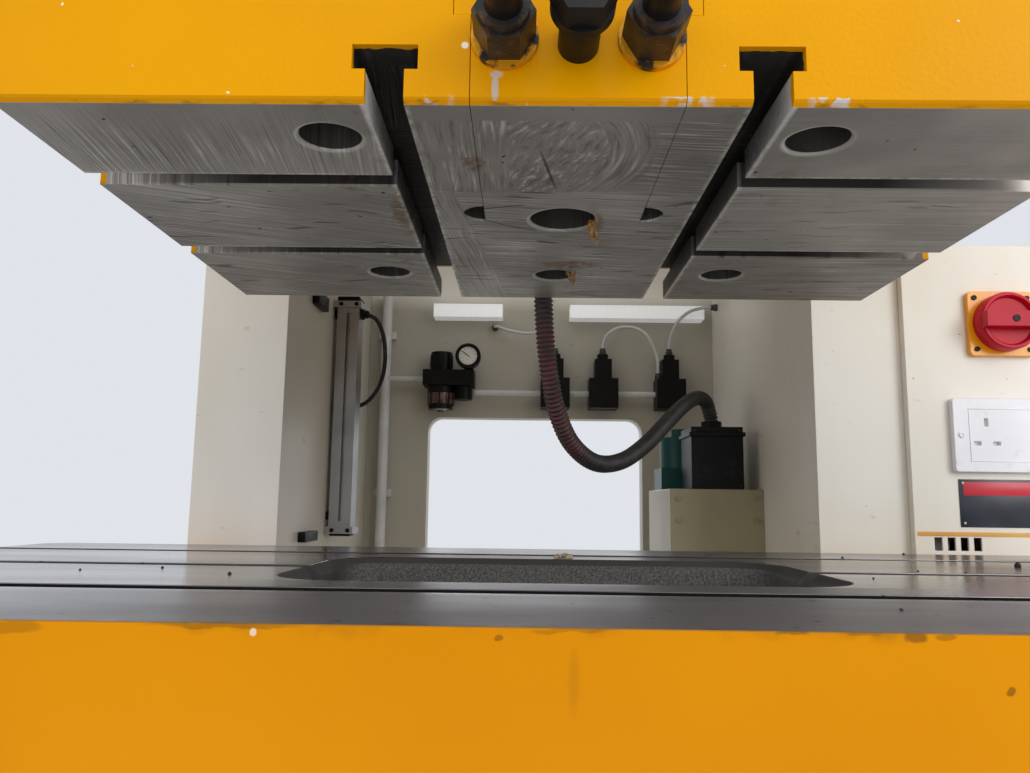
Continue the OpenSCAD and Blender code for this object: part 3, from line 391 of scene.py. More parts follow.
def makeStudio():
    settings = studioSet
    bm = bmesh.new()
    bmesh.ops.create_grid(bm, x_segments=1, y_segments=1, size=9.0)
    # sealed concrete: matt, with faint worn areas
    add, place, close = newFinish("studioFloor", 0.7)
    worn = patches(add, place, 900, 0.4, 0.7)
    floorFinish = close(add("tint", worn, settings["floor"], settings["floorWorn"]))
    addMesh("studioFloor", bm, [floorFinish])
    scene.world = scene.world or bpy.data.worlds.new("studio")
    scene.world.use_nodes = True
    background = scene.world.node_tree.nodes["Background"]
    background.inputs["Color"].default_value = linear(settings["sky"])
    background.inputs["Strength"].default_value = settings["skyStrength"]
    for name, place, aim, width, height, watts in settings["lamps"]:
        light = bpy.data.lights.new(name, "AREA")
        light.shape = "RECTANGLE"
        light.size, light.size_y, light.energy = width, height, watts
        holder = putObject(name, light)
        holder.location = place
        holder.rotation_euler = (Vector(aim) - Vector(place)).to_track_quat("-Z", "Y").to_euler()
    scene.view_settings.view_transform = "Standard"


makeStudio()
print("floor and light set")


# Enamels: sprayed gloss paint on plate, with the fine orange peel of a spray gun
def enamel(name, colour, shade, stain, chip="#8C8880", stainAmount=0.35, roughness=0.36, throatShade=None):
    add, place, close = newFinish(name, roughness, specular=0.25)
    axes = add("apart", place)
    broad = patches(add, place, 340)
    runs = patches(add, place, 120, 0.5, 0.75, (1, 1, 0.35))  # stains run down the plates
    scuffs = patches(add, place, 30, 0.69, 0.75, (1, 1, 2.5))
    low = add("range", axes[2], 0.02, 0.4, 1.0, 0.0)
    splashed = add("times", low, patches(add, place, 70, stretch=(1, 1, 0.5)))
    layers = [(runs, stainAmount, stain), (scuffs, 0.3, chip), (splashed, 0.45, "#8E8268")]
    if throatShade:
        # painted shade over the parts that stand in the die space
        oilAndShade, amount, ranges = throatShade
        shadedParts = [within(add, value, *limits) for value, limits in zip(axes, ranges)]
        layers.append((add("times", *shadedParts), amount, oilAndShade))
    layers.append((patches(add, place, 5, 0.79, 0.83, detail=1), 0.7, "#6E685C"))
    skin = layered(add, add("tint", broad, colour, shade), *layers)
    peel = add("noise", place, 1000 / 3.0, 1.0)  # real peel is 1 to 2 mm, drawn 3 mm so that it shows
    dull = add("range", broad, 0.0, 1.0, roughness - 0.05, roughness + 0.1)
    return close(skin, dull, height=peel, depth=0.00006, strength=0.6)


creams = ("#F1EDE4", "#EAE6DA", "#D9CDB0")
# painted shade: colour, amount, and from, to and softness along X, Y and Z
# the left cheek's inner face and the rear plates in the throat get this painted shade
cheekShade = ("#A39C8A", 0.5, ((-0.3185, 1.0, 0.0005), (-2.0, 2.0, 0.1), (-1.0, 3.0, 0.1)))
rearShade = ("#85826F", 0.6, ((-0.318, 0.318, 0.0005), (0.4, 0.56, 0.0005), (0.8, 1.322, 0.016)))
creamEnamel = enamel("creamEnamel", *creams)
shadedCreamEnamel = enamel("shadedCreamEnamel", *creams, throatShade=cheekShade)
rearCreamEnamel = enamel("rearCreamEnamel", *creams, throatShade=rearShade)
agedCreamEnamel = enamel("agedCreamEnamel", "#AFAA8C", "#9E997C", "#7E795C", stainAmount=0.5)
yellowEnamel = enamel("yellowEnamel", "#DF9A00", "#D69200", "#C08200", "#B4AFA6", 0.15, 0.3)
blueGreyEnamel = enamel("blueGreyEnamel", "#5C7480", "#536A76", "#3C4A50")
tealEnamel = enamel("tealEnamel", "#215956", "#1C4C4A", "#163536")
dress(shadedCreamEnamel, "left_cheek")
dress(rearCreamEnamel, "frame_plates")
dress(creamEnamel, "right_cheek", "motor_bracket", "cabinet", "cabinet_door")
dress(agedCreamEnamel, "shelf_box")
dress(yellowEnamel, "flywheel_guard", "crown_cover")
dress(blueGreyEnamel, "motor", "air_tank")
dress(tealEnamel, "grease_pump")
print("enamels finished")


# Slide: yellow enamel outside, bare milled cast steel below, with mill marks, grease and chipped paint
slideSet = {
    "paint": "#DF9A00",
    "paintShade": "#D69200",
    "steel": "#B0ABA6",
    "steelDark": "#66615C",
    "ridge": "#F2EEE8",
    "grease": "#5E4A2C",
    "primer": "#C9C7C2",
    "rearEdge": -0.111,
    "paintReach": 0.0045,  # how far the paint comes in round the lower edge
    "boresTop": 1.3185,  # the bores are bare up to here
    "middleHalf": 0.109,  # half of the middle strip, between the long slots
    "panelsBehind": -0.4435,  # the front panels end at the first cross slots
    "clampBack": -0.4165,
    "clampLeft": -0.04,  # left of it, the clamp block was cut along Y
    "rearLeft": -0.078,
    "leftPanels": -0.118,
    "panelTilt": 0.1,  # slope of the marks on the front side panels
    "midSlope": 0.38,  # slope of the marks on the left panels behind them
    "rearLean": 0.105,  # slope of the marks on the left of the middle, behind the clamp block
    "slant": (0.9, 0.44),  # direction of the slanted marks on the clamp block
    "ringCentre": (-0.07, -0.48),  # the centre of the arcs on the clamp block
    "slantedTo": 0.094,  # how far from that centre the slanted marks go, and then the arcs
    "ringedTo": 0.122,
    "smoothStrip": (-0.56, -0.5255, 0.002),
    "lightenedPanel": (-0.4235, -0.2835),
    "cutter": {
        # the marks of each zone: width and length in millimetres, seed
        "clampLeft": (3.4, 60, 3.0), "rearLeft": (2.6, 140, 31.0), "middle": (2.2, 90, 8.0),
        "frontLeft": (2.4, 150, 14.0), "sides": (1.9, 190, 21.0), "slanted": (4.2, 17, 11.0), "ringed": (4.6, 60, 5.0),
    },
    # from, to and softness, as distances from the slide's middle
    "slotEdges": [(0.1185, 0.1215, 0.0012), (0.0945, 0.0975, 0.0012)],
    "rightRim": (0.1176, 0.1206, 0.0006),
    "neckWalls": (0.117, 0.1215),
    "greasyBand": (0.085, 0.15, 0.02),
    "slotSide": 0.1205,  # the side panels begin here
    "neckHigh": 0.03,
    "crossSlots": (-0.4335, -0.2735),
    "cracks": [
        # from X, to X, Y at the start, slope, bend
        (-0.0625, -0.0206, -0.36, 1.0, -9.0), (-0.0615, -0.0308, -0.381, -0.28, 0.0),
    ],
    "rustLine": [(-0.0135, -0.452, 0.0011, 0.03, 0.9)],
    "holeRims": [
        # x, y, radius
        (-0.148, -0.5, 0.019), (0.148, -0.5, 0.019), (-0.159, -0.206, 0.019), (0.159, -0.206, 0.019),
        (0.0, -0.2, 0.019), (0.0, -0.357, 0.025),
    ],
    "greaseSmears": [
        # x, y, half width, half depth, strength
        (0.013, -0.238, 0.026, 0.012, 0.75), (-0.0625, -0.4635, 0.007, 0.012, 0.8), (0.027, -0.352, 0.006, 0.018, 0.7),
        (-0.124, -0.37, 0.006, 0.034, 0.6), (-0.15, -0.425, 0.008, 0.01, 0.5), (-0.106, -0.3, 0.01, 0.03, 0.35),
    ],
    "lowChips": [(-0.079, 0.007), (0.061, 0.012), (0.141, 0.011)],  # middle and half width
    "paleMarks": [(-0.0633, 1.2033, 0.002, 0.002, 0.95)],
    "barePaint": [(-0.0462, 1.1785, 0.002, 0.0085, 0.8), (-0.0455, 1.186, 0.0036, 0.0022, 0.7)],
}


def cutterMarks(add, x, y, side, wobble):
    # each zone has marks in the direction it has on the real slide
    settings, cutter = slideSet, slideSet["cutter"]
    bentX, bentY = add("plus", x, wobble), add("plus", y, wobble)
    slightly = add("times", wobble, 0.3)
    tiltedX = add("plus", x, slightly, add("times", y, 0.02))
    leaningX = add("minus", add("plus", x, slightly), add("times", y, settings["rearLean"]))
    tiltedY = add("minus", add("plus", y, slightly), add("times", x, 0.1))
    panelX = add("plus", x, add("times", wobble, 0.09), add("times", y, settings["panelTilt"]))
    leftSlope = add("times", x, add("below", x, settings["leftPanels"]), settings["midSlope"])
    sheerY = add("minus", add("plus", y, add("times", wobble, 0.12)), leftSlope)
    slantX, slantY = settings["slant"]
    slantAcross = add("plus", add("times", bentX, slantX), add("times", y, slantY))
    slantAlong = add("minus", add("times", x, slantY), add("times", bentY, slantX))
    fromX, fromY = [add("minus", value, centre) for value, centre in zip((x, y), settings["ringCentre"])]
    ring = add("plus", add("root", squares(add, fromX, fromY)), add("times", wobble, 0.25))
    arc = add("times", add("angle", fromY, fromX), 0.1)
    marksSlanted = streaks(add, slantAcross, slantAlong, *cutter["slanted"])
    marksAcross = streaks(add, tiltedY, x, *cutter["middle"])

    edge = add("times", wobble, 0.35)
    middle = within(add, side, -1.0, settings["middleHalf"])
    outside = add("minus", 1.0, middle)
    behind = add("above", add("plus", y, edge), settings["clampBack"])
    clampZone = add("times", middle, add("minus", 1.0, behind))
    ringed = within(add, ring, 0.0, settings["ringedTo"], 0.006)
    clampMarks = add("blend", ringed, marksAcross, streaks(add, ring, arc, *cutter["ringed"]))
    slanted = add("below", add("plus", ring, edge), settings["slantedTo"])
    clampMarks = add("blend", slanted, clampMarks, marksSlanted)
    leftOf = add("below", add("plus", x, edge), settings["clampLeft"])
    clampMarks = add("blend", leftOf, clampMarks, streaks(add, tiltedX, y, *cutter["clampLeft"]))
    lean = add("times", add("plus", y, 0.4), settings["rearLean"])
    rearLeft = add("below", add("minus", x, lean), settings["rearLeft"])
    marks = add("blend", middle, streaks(add, sheerY, x, *cutter["sides"]), marksAcross)
    marks = add("blend", add("times", rearLeft, middle), marks, streaks(add, leaningX, y, *cutter["rearLeft"]))
    frontPanels = add("below", y, settings["panelsBehind"])
    leftFront = add("times", frontPanels, add("below", x, 0.0))
    marks = add("blend", leftFront, marks, streaks(add, panelX, y, *cutter["frontLeft"]))
    marks = add("blend", clampZone, marks, clampMarks)
    # the right front panel was cut finer, and the left one is smooth near its front
    rightFront = add("times", add("minus", frontPanels, leftFront), outside)
    calm = add("blend", add("times", leftFront, outside), 1.0, add("range", y, -0.535, -0.485, 0.25))
    smoothStrip = add("times", within(add, y, *settings["smoothStrip"]), middle)
    calm = add("times", add("blend", rightFront, calm, 0.3), add("range", smoothStrip, 0.0, 1.0, 1.0, 0.15))
    marks = add("plus", add("times", add("minus", marks, 0.5), calm), 0.5)
    return marks, clampZone, behind, smoothStrip, bentY


def slideFinish():
    settings = slideSet
    low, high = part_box("slide")
    add, place, close = newFinish("paintedMilledSteel", 0.4, specular=0.07)
    x, y, z = add("apart", place)
    side = add("size", x)
    ragged = unevenness(add, place, 9, 3.0, 0.006)
    inset = add("least", add("minus", high.x, side), add("minus", y, low.y), add("minus", settings["rearEdge"], y))
    inner = add("above", add("plus", inset, ragged), settings["paintReach"])
    inner = add("times", inner, add("below", z, settings["boresTop"]))
    bare = add("most", inner, add("below", z, low.z + 0.0002))

    wobble = unevenness(add, place, 45, 2.0, 0.016)
    marks, clampZone, behind, smoothStrip, bentY = cutterMarks(add, x, y, side, wobble)
    crest = add("range", marks, 0.53, 0.66)
    trough = add("range", marks, 0.32, 0.46, 1.0, 0.0)
    broad = patches(add, place, 95)
    keep = add("minus", 1.0, add("times", smoothStrip, 0.8))
    uneven = add("range", patches(add, place, 38, 0.36, 0.62), 0.0, 1.0, 0.12, 0.62)
    strength = add("times", keep, uneven, add("range", clampZone, 0.0, 1.0, 1.0, 1.35))
    gouge = patches(add, add("join", add("times", x, 0.12), bentY, 0.0), 7, 0.66, 0.69, detail=1)
    steel = layered(
        add, add("tint", broad, settings["steel"], "#9A958F"),
        (add("times", trough, keep), 0.62, settings["steelDark"]),
        (crest, strength, settings["ridge"]),
        (add("times", gouge, behind), 0.6, "#2E2A26"),  # a few deep gouges left black
    )
    # two hairline cracks beside the shank hole
    for start, end, level, slope, bend in settings["cracks"]:
        along = add("minus", x, start)
        path = add("times", along, add("plus", slope, add("times", along, bend)))
        off = add("minus", add("minus", y, level), add("plus", path, add("times", ragged, 0.25)))
        crack = add("times", within(add, off, -0.0007, 0.0007, 0.0003), within(add, x, start, end, 0.002))
        steel = layered(add, steel, (crack, 0.95, "#1C1916"))
    # bright edges of the slots, worn and with a painted highlight, and grease carried along them
    slotEdges = [within(add, side, *edge) for edge in settings["slotEdges"]]
    for middleY in settings["crossSlots"]:
        crossEdge = within(add, y, middleY - 0.0125, middleY - 0.0105, 0.0008)
        slotEdges.append(add("times", crossEdge, add("above", side, 0.119)))
    slotEdge = add("times", add("most", *slotEdges), patches(add, place, 7, 0.36, 0.6))
    roughX = add("plus", x, add("times", ragged, 0.4))
    rightRim = add("times", within(add, roughX, *settings["rightRim"]), add("above", y, settings["panelsBehind"]))
    lightenedPanel = add("times", within(add, y, *settings["lightenedPanel"]), add("above", x, settings["slotSide"]))
    greasy = add("times", within(add, side, *settings["greasyBand"]), patches(add, place, 20, 0.58, 0.7))
    smearX = add("plus", x, add("times", ragged, 1.6))
    smearY = add("plus", y, add("times", ragged, 2.4))
    smears = spots(add, smearX, smearY, settings["greaseSmears"], 0.6)
    rustX = add("minus", x, add("times", add("plus", y, 0.452), 0.19))
    steel = layered(
        add, steel,
        # painted highlight along the slot edges and the right rim
        (add("most", slotEdge, rightRim), 0.6, "#F4EFE6"),
        (lightenedPanel, 0.22, "#E6E2DC"),  # the right middle panel is lightened
        (greasy, 0.4, settings["grease"]),
        (smears, patches(add, place, 6, 0.3, 0.55), "#7A5C38"),
        (spots(add, rustX, y, settings["rustLine"], 0.7), 1.0, "#5A3620"),
        (patches(add, place, 8, 0.77, 0.8, detail=1), 1.0, "#24211E"),
    )
    # painted highlight round each hole: a lighter ring on its chamfer, brightest on its left side
    for rimX, rimY, radius in settings["holeRims"]:
        fromRimX, fromRimY = add("minus", x, rimX), add("minus", y, rimY)
        away = add("root", squares(add, fromRimX, fromRimY))
        lit = add("range", fromRimX, -radius, radius * 0.2, 0.75, 0.3)
        steel = layered(add, steel, (within(add, away, radius + 0.0004, radius + 0.003, 0.0007), lit, "#D9D6D0"))
    # slot and hole walls are darkened with black oil and painted shade, less of it at the open ends
    lowDown = add("below", z, low.z + settings["neckHigh"])
    neckWall = add("times", within(add, side, *settings["neckWalls"]), lowDown)
    neckShade = add("range", y, -0.545, -0.43, 0.0, 0.7)
    wallOilAndShade = add("blend", neckWall, add("range", side, 0.22, 0.31, 0.88, 0.0), neckShade)
    steel = layered(
        add, steel,
        (clampZone, 0.22, "#57524C"),
        # painted highlight on the slot neck walls near the front, fading deeper in
        (neckWall, add("minus", 0.7, neckShade), "#F2F1EE"),
        (add("above", z, low.z + 0.0017), wallOilAndShade, "#1B1A1A"),
    )

    chips = [within(add, x, centre - half, centre + half, 0.004) for centre, half in settings["lowChips"]]
    heightUp = add("plus", z, add("times", ragged, 1.2))
    chipped = add("times", add("most", *chips), patches(add, place, 9, 0.45, 0.52))
    frontFace = add("below", y, low.y + 0.0015)
    wornX = add("plus", x, add("times", ragged, 0.25))
    paint = layered(
        add, add("tint", patches(add, place, 260), settings["paint"], settings["paintShade"]),
        (patches(add, place, 60, 0.62, 0.8), 0.25, "#D88A00"),
        (chipped, add("below", heightUp, low.z + 0.0046), settings["primer"]),
        (add("times", add("below", heightUp, low.z + 0.0012), patches(add, place, 26, 0.5, 0.62)), 0.7, "#6A4210"),
        (patches(add, place, 6, 0.78, 0.81, detail=1), 1.0, "#E8E4DC"),
        (add("below", z, low.z + 0.0022), 0.35, "#B87800"),  # painted shade: the lower edge is darker and browner
        (frontFace, spots(add, wornX, z, settings["barePaint"]), "#BDBAB2"),
        (frontFace, spots(add, x, z, settings["paleMarks"]), "#EFEBE0"),
    )

    dull = add("blend", bare, 0.3, add("range", broad, 0.0, 1.0, 0.42, 0.58))
    peel = add("times", add("noise", place, 1000 / 3.0, 1.0), 0.12)
    height = add("blend", bare, peel, marks)
    return close(add("tint", bare, paint, steel), dull, add("times", bare, 0.45), height, 0.0016)


dress(slideFinish(), "slide", "clamp_block")
print("slide finished")


# Bolster: ground steel top with a soft shine, oil and painted shade in its slots, a rough drop hole and yellow sides
bolsterSet = {
    "ground": "#8E8B8E",
    "groundWarm": "#7C7877",
    "frontLand": "#5E5A5C",
    "paint": "#CF8600",
    "paintShade": "#C77E00",
    "smudge": "#4C3212",
    "hole": "#74726F",
    "holeBevel": "#4C4946",
    "holeX": (-0.181, 0.1885, 0.006),  # from, to, softness
    "holeY": (-0.44, -0.201),
    "bevelDeep": 0.0052,
    "cornerCut": 0.0186,
    "landY": (-0.49, -0.515),  # the front land gets dull between these
    "dullLands": [
        # from Y, to Y, how much duller: the strips in front of and behind the drop hole
        (-0.481, -0.4395, 1.0), (-0.2015, -0.157, 1.0), (-0.135, -0.031, 0.9),
    ],
    "darkMarks": [
        # x, z, half width, half height, strength
        (0.131, 0.8982, 0.005, 0.0026, 0.6), (0.144, 0.8988, 0.004, 0.0014, 0.4), (0.081, 0.899, 0.006, 0.0012, 0.5),
        (-0.238, 0.8965, 0.012, 0.0026, 0.3), (-0.037, 0.8957, 0.0016, 0.0012, 0.5),
        (0.168, 0.8777, 0.0018, 0.0016, 0.6), (-0.15, 0.899, 0.03, 0.0014, 0.35),
        (-0.008, 0.899, 0.014, 0.0012, 0.3), (0.11, 0.899, 0.007, 0.0012, 0.35),
    ],
    "paleMarks": [(-0.1373, 0.8965, 0.0014, 0.0016, 0.55)],
    "scratch": [(-0.0065, 0.879, 0.0022, 0.012, 0.3)],
}


def bolsterFinish():
    settings = bolsterSet
    low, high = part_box("bolster")
    add, place, close = newFinish("groundToolSteel", 0.2, specular=0.06)
    x, y, z = add("apart", place)
    top = add("above", z, high.z - 0.0006)
    fromSide = add("minus", high.x, add("size", x))
    fromEnds = add("least", add("minus", y, low.y), add("minus", high.y, y))
    corner = add("below", add("plus", fromSide, fromEnds), settings["cornerCut"])
    inner = add("times", add("above", add("least", fromSide, fromEnds), 0.0005), add("minus", 1.0, corner))

    brushed = streaks(add, y, x, 1.6, 120, 2.0)
    broad = patches(add, place, 150, stretch=(0.5, 1.6, 1))
    land = add("range", y, *settings["landY"])
    strips = [add("times", within(add, y, a, b, 0.002), share) for a, b, share in settings["dullLands"]]
    beside = add("times", add("most", *strips), within(add, x, -0.15, 0.19, 0.07))
    steel = layered(
        add, add("tint", broad, settings["ground"], settings["groundWarm"]),
        (add("range", brushed, 0.45, 0.62), 0.35, "#5F5850"),
        # the front land and the strips beside the hole are darker: oil film and a painted dark reflection
        (land, 0.8, settings["frontLand"]),
        (beside, 0.9, settings["frontLand"]),
        (patches(add, place, 45, 0.6, 0.72, (0.4, 1.4, 1)), 0.4, "#54483A"),
        (patches(add, place, 9, 0.735, 0.76, detail=1), 1.0, "#2C2926"),
        (add("range", y, low.y, low.y + 0.012, 1.0, 0.0), patches(add, place, 24, 0.48, 0.62), "#4A3C2E"),
    )
    # the drop hole's walls are flame cut and never ground
    burnt = add("tint", patches(add, place, 1.7), settings["hole"], "#4A4846")
    deep = add("times", within(add, x, *settings["holeX"]), add("below", z, high.z - settings["bevelDeep"]))
    burnt = add("tint", deep, settings["holeBevel"], burnt)
    # painted shade with oil: the slot walls outside the drop hole are near black
    walls = add("tint", within(add, y, *settings["holeY"]), "#1F1D1B", burnt)
    steel = add("tint", top, walls, steel)

    ragged = unevenness(add, place, 16, 4.0, 1.0)
    edgeZ = add("plus", z, add("times", ragged, 0.014))
    smudge = add("times", add("range", edgeZ, high.z - 0.005, high.z - 0.001), patches(add, place, 40, 0.5, 0.66))
    brokenX = add("plus", x, add("times", ragged, 0.012))
    brokenZ = add("plus", z, add("times", ragged, 0.006))
    paint = layered(
        add, add("tint", patches(add, place, 260), settings["paint"], settings["paintShade"]),
        (patches(add, place, 70, 0.6, 0.8), 0.3, "#D68600"),
        (spots(add, x, z, settings["scratch"], 0.8), 1.0, "#9A6408"),
        (smudge, 0.3, settings["smudge"]),
        (spots(add, brokenX, brokenZ, settings["darkMarks"]), 1.0, settings["smudge"]),
        (spots(add, x, z, settings["paleMarks"]), 1.0, "#E9E3D6"),
        (top, 0.5, "#6A5A3A"),
    )

    # an oil film dulls the front land and the strips beside the hole
    oilAndShade = add("most", add("times", land, within(add, x, -0.23, 0.33, 0.12)), beside)
    steelShine = add("range", oilAndShade, 0.0, 1.0, 0.9, 0.35)
    metal = add("times", inner, add("blend", top, 0.3, steelShine))
    topDull = add("plus", add("range", broad, 0.0, 1.0, 0.12, 0.22), add("times", oilAndShade, 0.2))
    dull = add("blend", inner, 0.3, add("blend", top, 0.75, topDull))
    rough = add("noise", place, 1000 / 2.4, 3.0)
    height = add("blend", top, add("times", rough, 0.6), add("times", brushed, 0.06))
    height = add("blend", inner, add("times", rough, 0.05), height)
    return close(add("tint", inner, paint, steel), dull, metal, height, 0.0015)


dress(bolsterFinish(), "bolster")
print("bolster finished")


# Bare and treated metals
# their marks are 1 to 3 mm apart, coarser than real, so that they show
def metalFinish(name, colour, shade, roughness, metallic=1.0, marks=(1, 1, 1), size=2.0, depth=0.0001):
    add, place, close = newFinish(name, roughness, metallic)
    broad = patches(add, place, 60)
    fine = add("noise", add("Mapping", {"Vector": place, "Scale": marks}), 1000 / size, 2.0)
    skin = add("tint", broad, colour, shade)
    skin = layered(add, skin, (add("range", fine, 0.4, 0.7), 0.3, shade))
    dull = add("range", broad, 0.0, 1.0, roughness - 0.06, roughness + 0.08)
    return close(skin, dull, height=fine, depth=depth)


# the lathe's fine lines break up the shine
turnedSteel = metalFinish("turnedSteel", "#8F8B86", "#6C6862", 0.32, marks=(1, 0.2, 1))
# nearly black, and only the edges glint
blackOxide = metalFinish("blackOxideSteel", "#2C2A2B", "#1C1A19", 0.42, 0.6)
# the matt, sandy grain of the mould
greyCasting = metalFinish("greyIronCasting", "#64666A", "#4C4D50", 0.6, 0.4, size=3.0, depth=0.0004)
# a warm, yellow brown shine
bearingBronze = metalFinish("bearingBronze", "#B08D57", "#8C6C3C", 0.34)
# even and bright, close to a mirror
groundSteel = metalFinish("groundBearingSteel", "#A4A5A6", "#86878A", 0.22)
# a clear mirror
hardChrome = metalFinish("hardChrome", "#C8CACC", "#B4B6B8", 0.1, depth=0.00002)
# pale and a little cloudy
zincPlated = metalFinish("zincPlatedSteel", "#A9A79F", "#8D8A80", 0.35)
# satin, with fine lines up the bar
anodisedAluminium = metalFinish("anodisedAluminium", "#B4B6B8", "#A4A6A8", 0.38, 0.85, (1, 1, 0.03), 0.8, 0.00004)
dress(
    turnedSteel, "gibs", "crankshaft", "main_gear", "adjusting_screw", "ball_retainer", "pinion_shaft", "knockout_bar"
)
dress(greyCasting, "connecting_rod", "rod_cap", "flywheel", "motor_pulley", "clutch_drum")
dress(bearingBronze, "crank_bushes", "ball_seat")
dress(groundSteel, "shaft_bearings", "wheel_bearing", "balance_cylinders")
dress(hardChrome, "balance_rods")
dress(anodisedAluminium, "sensor_bar")
dress(blackOxide, "frame_bolts", "clamp_studs", "rod_bolts", "knockout_stops")
dress(blackOxide, "door_latch", "slide_gland", "lifting_eyes", "jack_screw")


def clampNutFinish():
    # black nuts with old grease, their washers painted over with the slide
    add, place, close = newFinish("overpaintedBlackSteel", 0.4, 0.4)
    washer = add("above", add("apart", place)[1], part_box("slide")[0].y - 0.0044)
    skin = layered(
        add, add("tint", patches(add, place, 12, 0.4, 0.62), "#262324", "#3A302A"),
        (patches(add, place, 6, 0.56, 0.64), 0.5, "#5A4632"),
        (washer, patches(add, place, 11, 0.4, 0.5), "#D8960C"),
    )
    return close(skin, height=add("noise", place, 1000 / 2.0, 2.0), depth=0.0003)


dress(clampNutFinish(), "clamp_nuts")
print("metals finished")


# Plastics: moulded ABS and rubber, with the fine grain of the mould
plasticGrain = 0.9  # millimetres, coarser than the real 0.1 so that it shows


def plasticFinish(name, colour, shade, roughness, coat=0.0, specular=0.5, dustColour="#8C8A84"):
    add, place, close = newFinish(name, roughness, coat=coat, specular=specular)
    skin = add("tint", patches(add, place, 70), colour, shade)
    skin = layered(add, skin, (patches(add, place, 16, 0.6, 0.75), 0.2, dustColour))
    return close(skin, height=add("noise", place, 1000 / plasticGrain, 1.0), depth=0.00004)


# the rubbers and the film of dust on them are matt
beltRubber = plasticFinish("beltRubber", "#26262A", "#1E1E20", 0.7)
blackRubber = plasticFinish("blackRubber", "#1E1F20", "#161617", 0.55)
# ABS has soft, wide highlights, weak ones where it is black or crimson
blackAbs = plasticFinish("blackAbs", "#0C0D0E", "#09090A", 0.42, specular=0.2, dustColour="#3C3B38")
whiteAbs = plasticFinish("whiteAbs", "#EDEDF2", "#E4E4E8", 0.3)
greyAbs = plasticFinish("greyAbs", "#C6C6C2", "#B8B8B4", 0.45)
crimsonAbs = plasticFinish("crimsonAbs", "#C80A2C", "#B00822", 0.34, specular=0.2, dustColour="#9A2030")
# the buttons and the switch plate have a clear coat that shines
greenAbs = plasticFinish("greenAbs", "#2E8B57", "#267A4B", 0.28, coat=0.3)
yellowAbs = plasticFinish("yellowAbs", "#F5A400", "#EA9A00", 0.3, coat=0.2)
# milky nylon, waxy dark acetal, amber tape round the transformer's coil
tubeNylon = plasticFinish("tubeNylon", "#D8DAD8", "#C6C8C6", 0.35)
greyAcetal = plasticFinish("greyAcetal", "#3A3E44", "#2C3034", 0.35)
windingTape = plasticFinish("windingTape", "#C9A24A", "#B48E38", 0.4)
dress(beltRubber, "v_belts")
dress(blackAbs, "air_unit", "gauge", "valve_blocks", "junction_box")
dress(whiteAbs, "angle_dial", "socket_plate")
dress(tubeNylon, "air_pipes")
dress(greyAbs, "hand_boxes")
dress(crimsonAbs, "angle_pointer", "switch_handle", "stop_button")
dress(greenAbs, "palm_button_left", "palm_button_right")
dress(yellowAbs, "switch_plate")

lampSet = {"waveScale": 26.5258, "glow": 0.25}  # a band of the wave each 11.8 mm, one for each diode


def lampFinish():
    # frosted acrylic over a row of lit diodes: white, with a faint glow in bands
    add, place, close = newFinish("litFrostedAcrylic", 0.35, others={"Emission Strength": lampSet["glow"]})
    row = add("TexWave", {"Vector": place, "Scale": lampSet["waveScale"], "Distortion": 0.0}, out="Fac")
    glow = add("tint", row, "#F4F6FA", "#FFFFFF")
    return close(glow, glow=glow)


dress(lampFinish(), "lamp_bars")
print("plastics finished")


# Small fittings on the cabinet: label plate without words, switch rim, socket frame, tape and screws
cabinetSet = {
    "face": -0.007,
    "label": (0.476, 0.596, 0.93, 0.985),
    "labelBand": 0.34,  # the red band's share of the label's height
    "switchCentre": (0.535, 1.1685),
    "switchRim": [
        (0.0275, -0.0286), (0.028, -0.032), (0.03, -0.0345), (0.0325, -0.0345), (0.0342, -0.032),
        (0.0344, -0.018), (0.0344, -0.0175),
    ],
    "socket": (0.47, 0.616, 0.993, 1.079),
    "socketDeep": 0.009,
    "frameWide": 0.0012,
    "tape": (0.426, 0.745, 0.9195, 0.9245),
}


def labelFinish():
    # printed polyester film, dark, smooth and a little glossy
    add, place, close = newFinish("printedFilm", 0.3)
    return close(add("tint", patches(add, place, 30), "#1E222C", "#2A2F3A"))


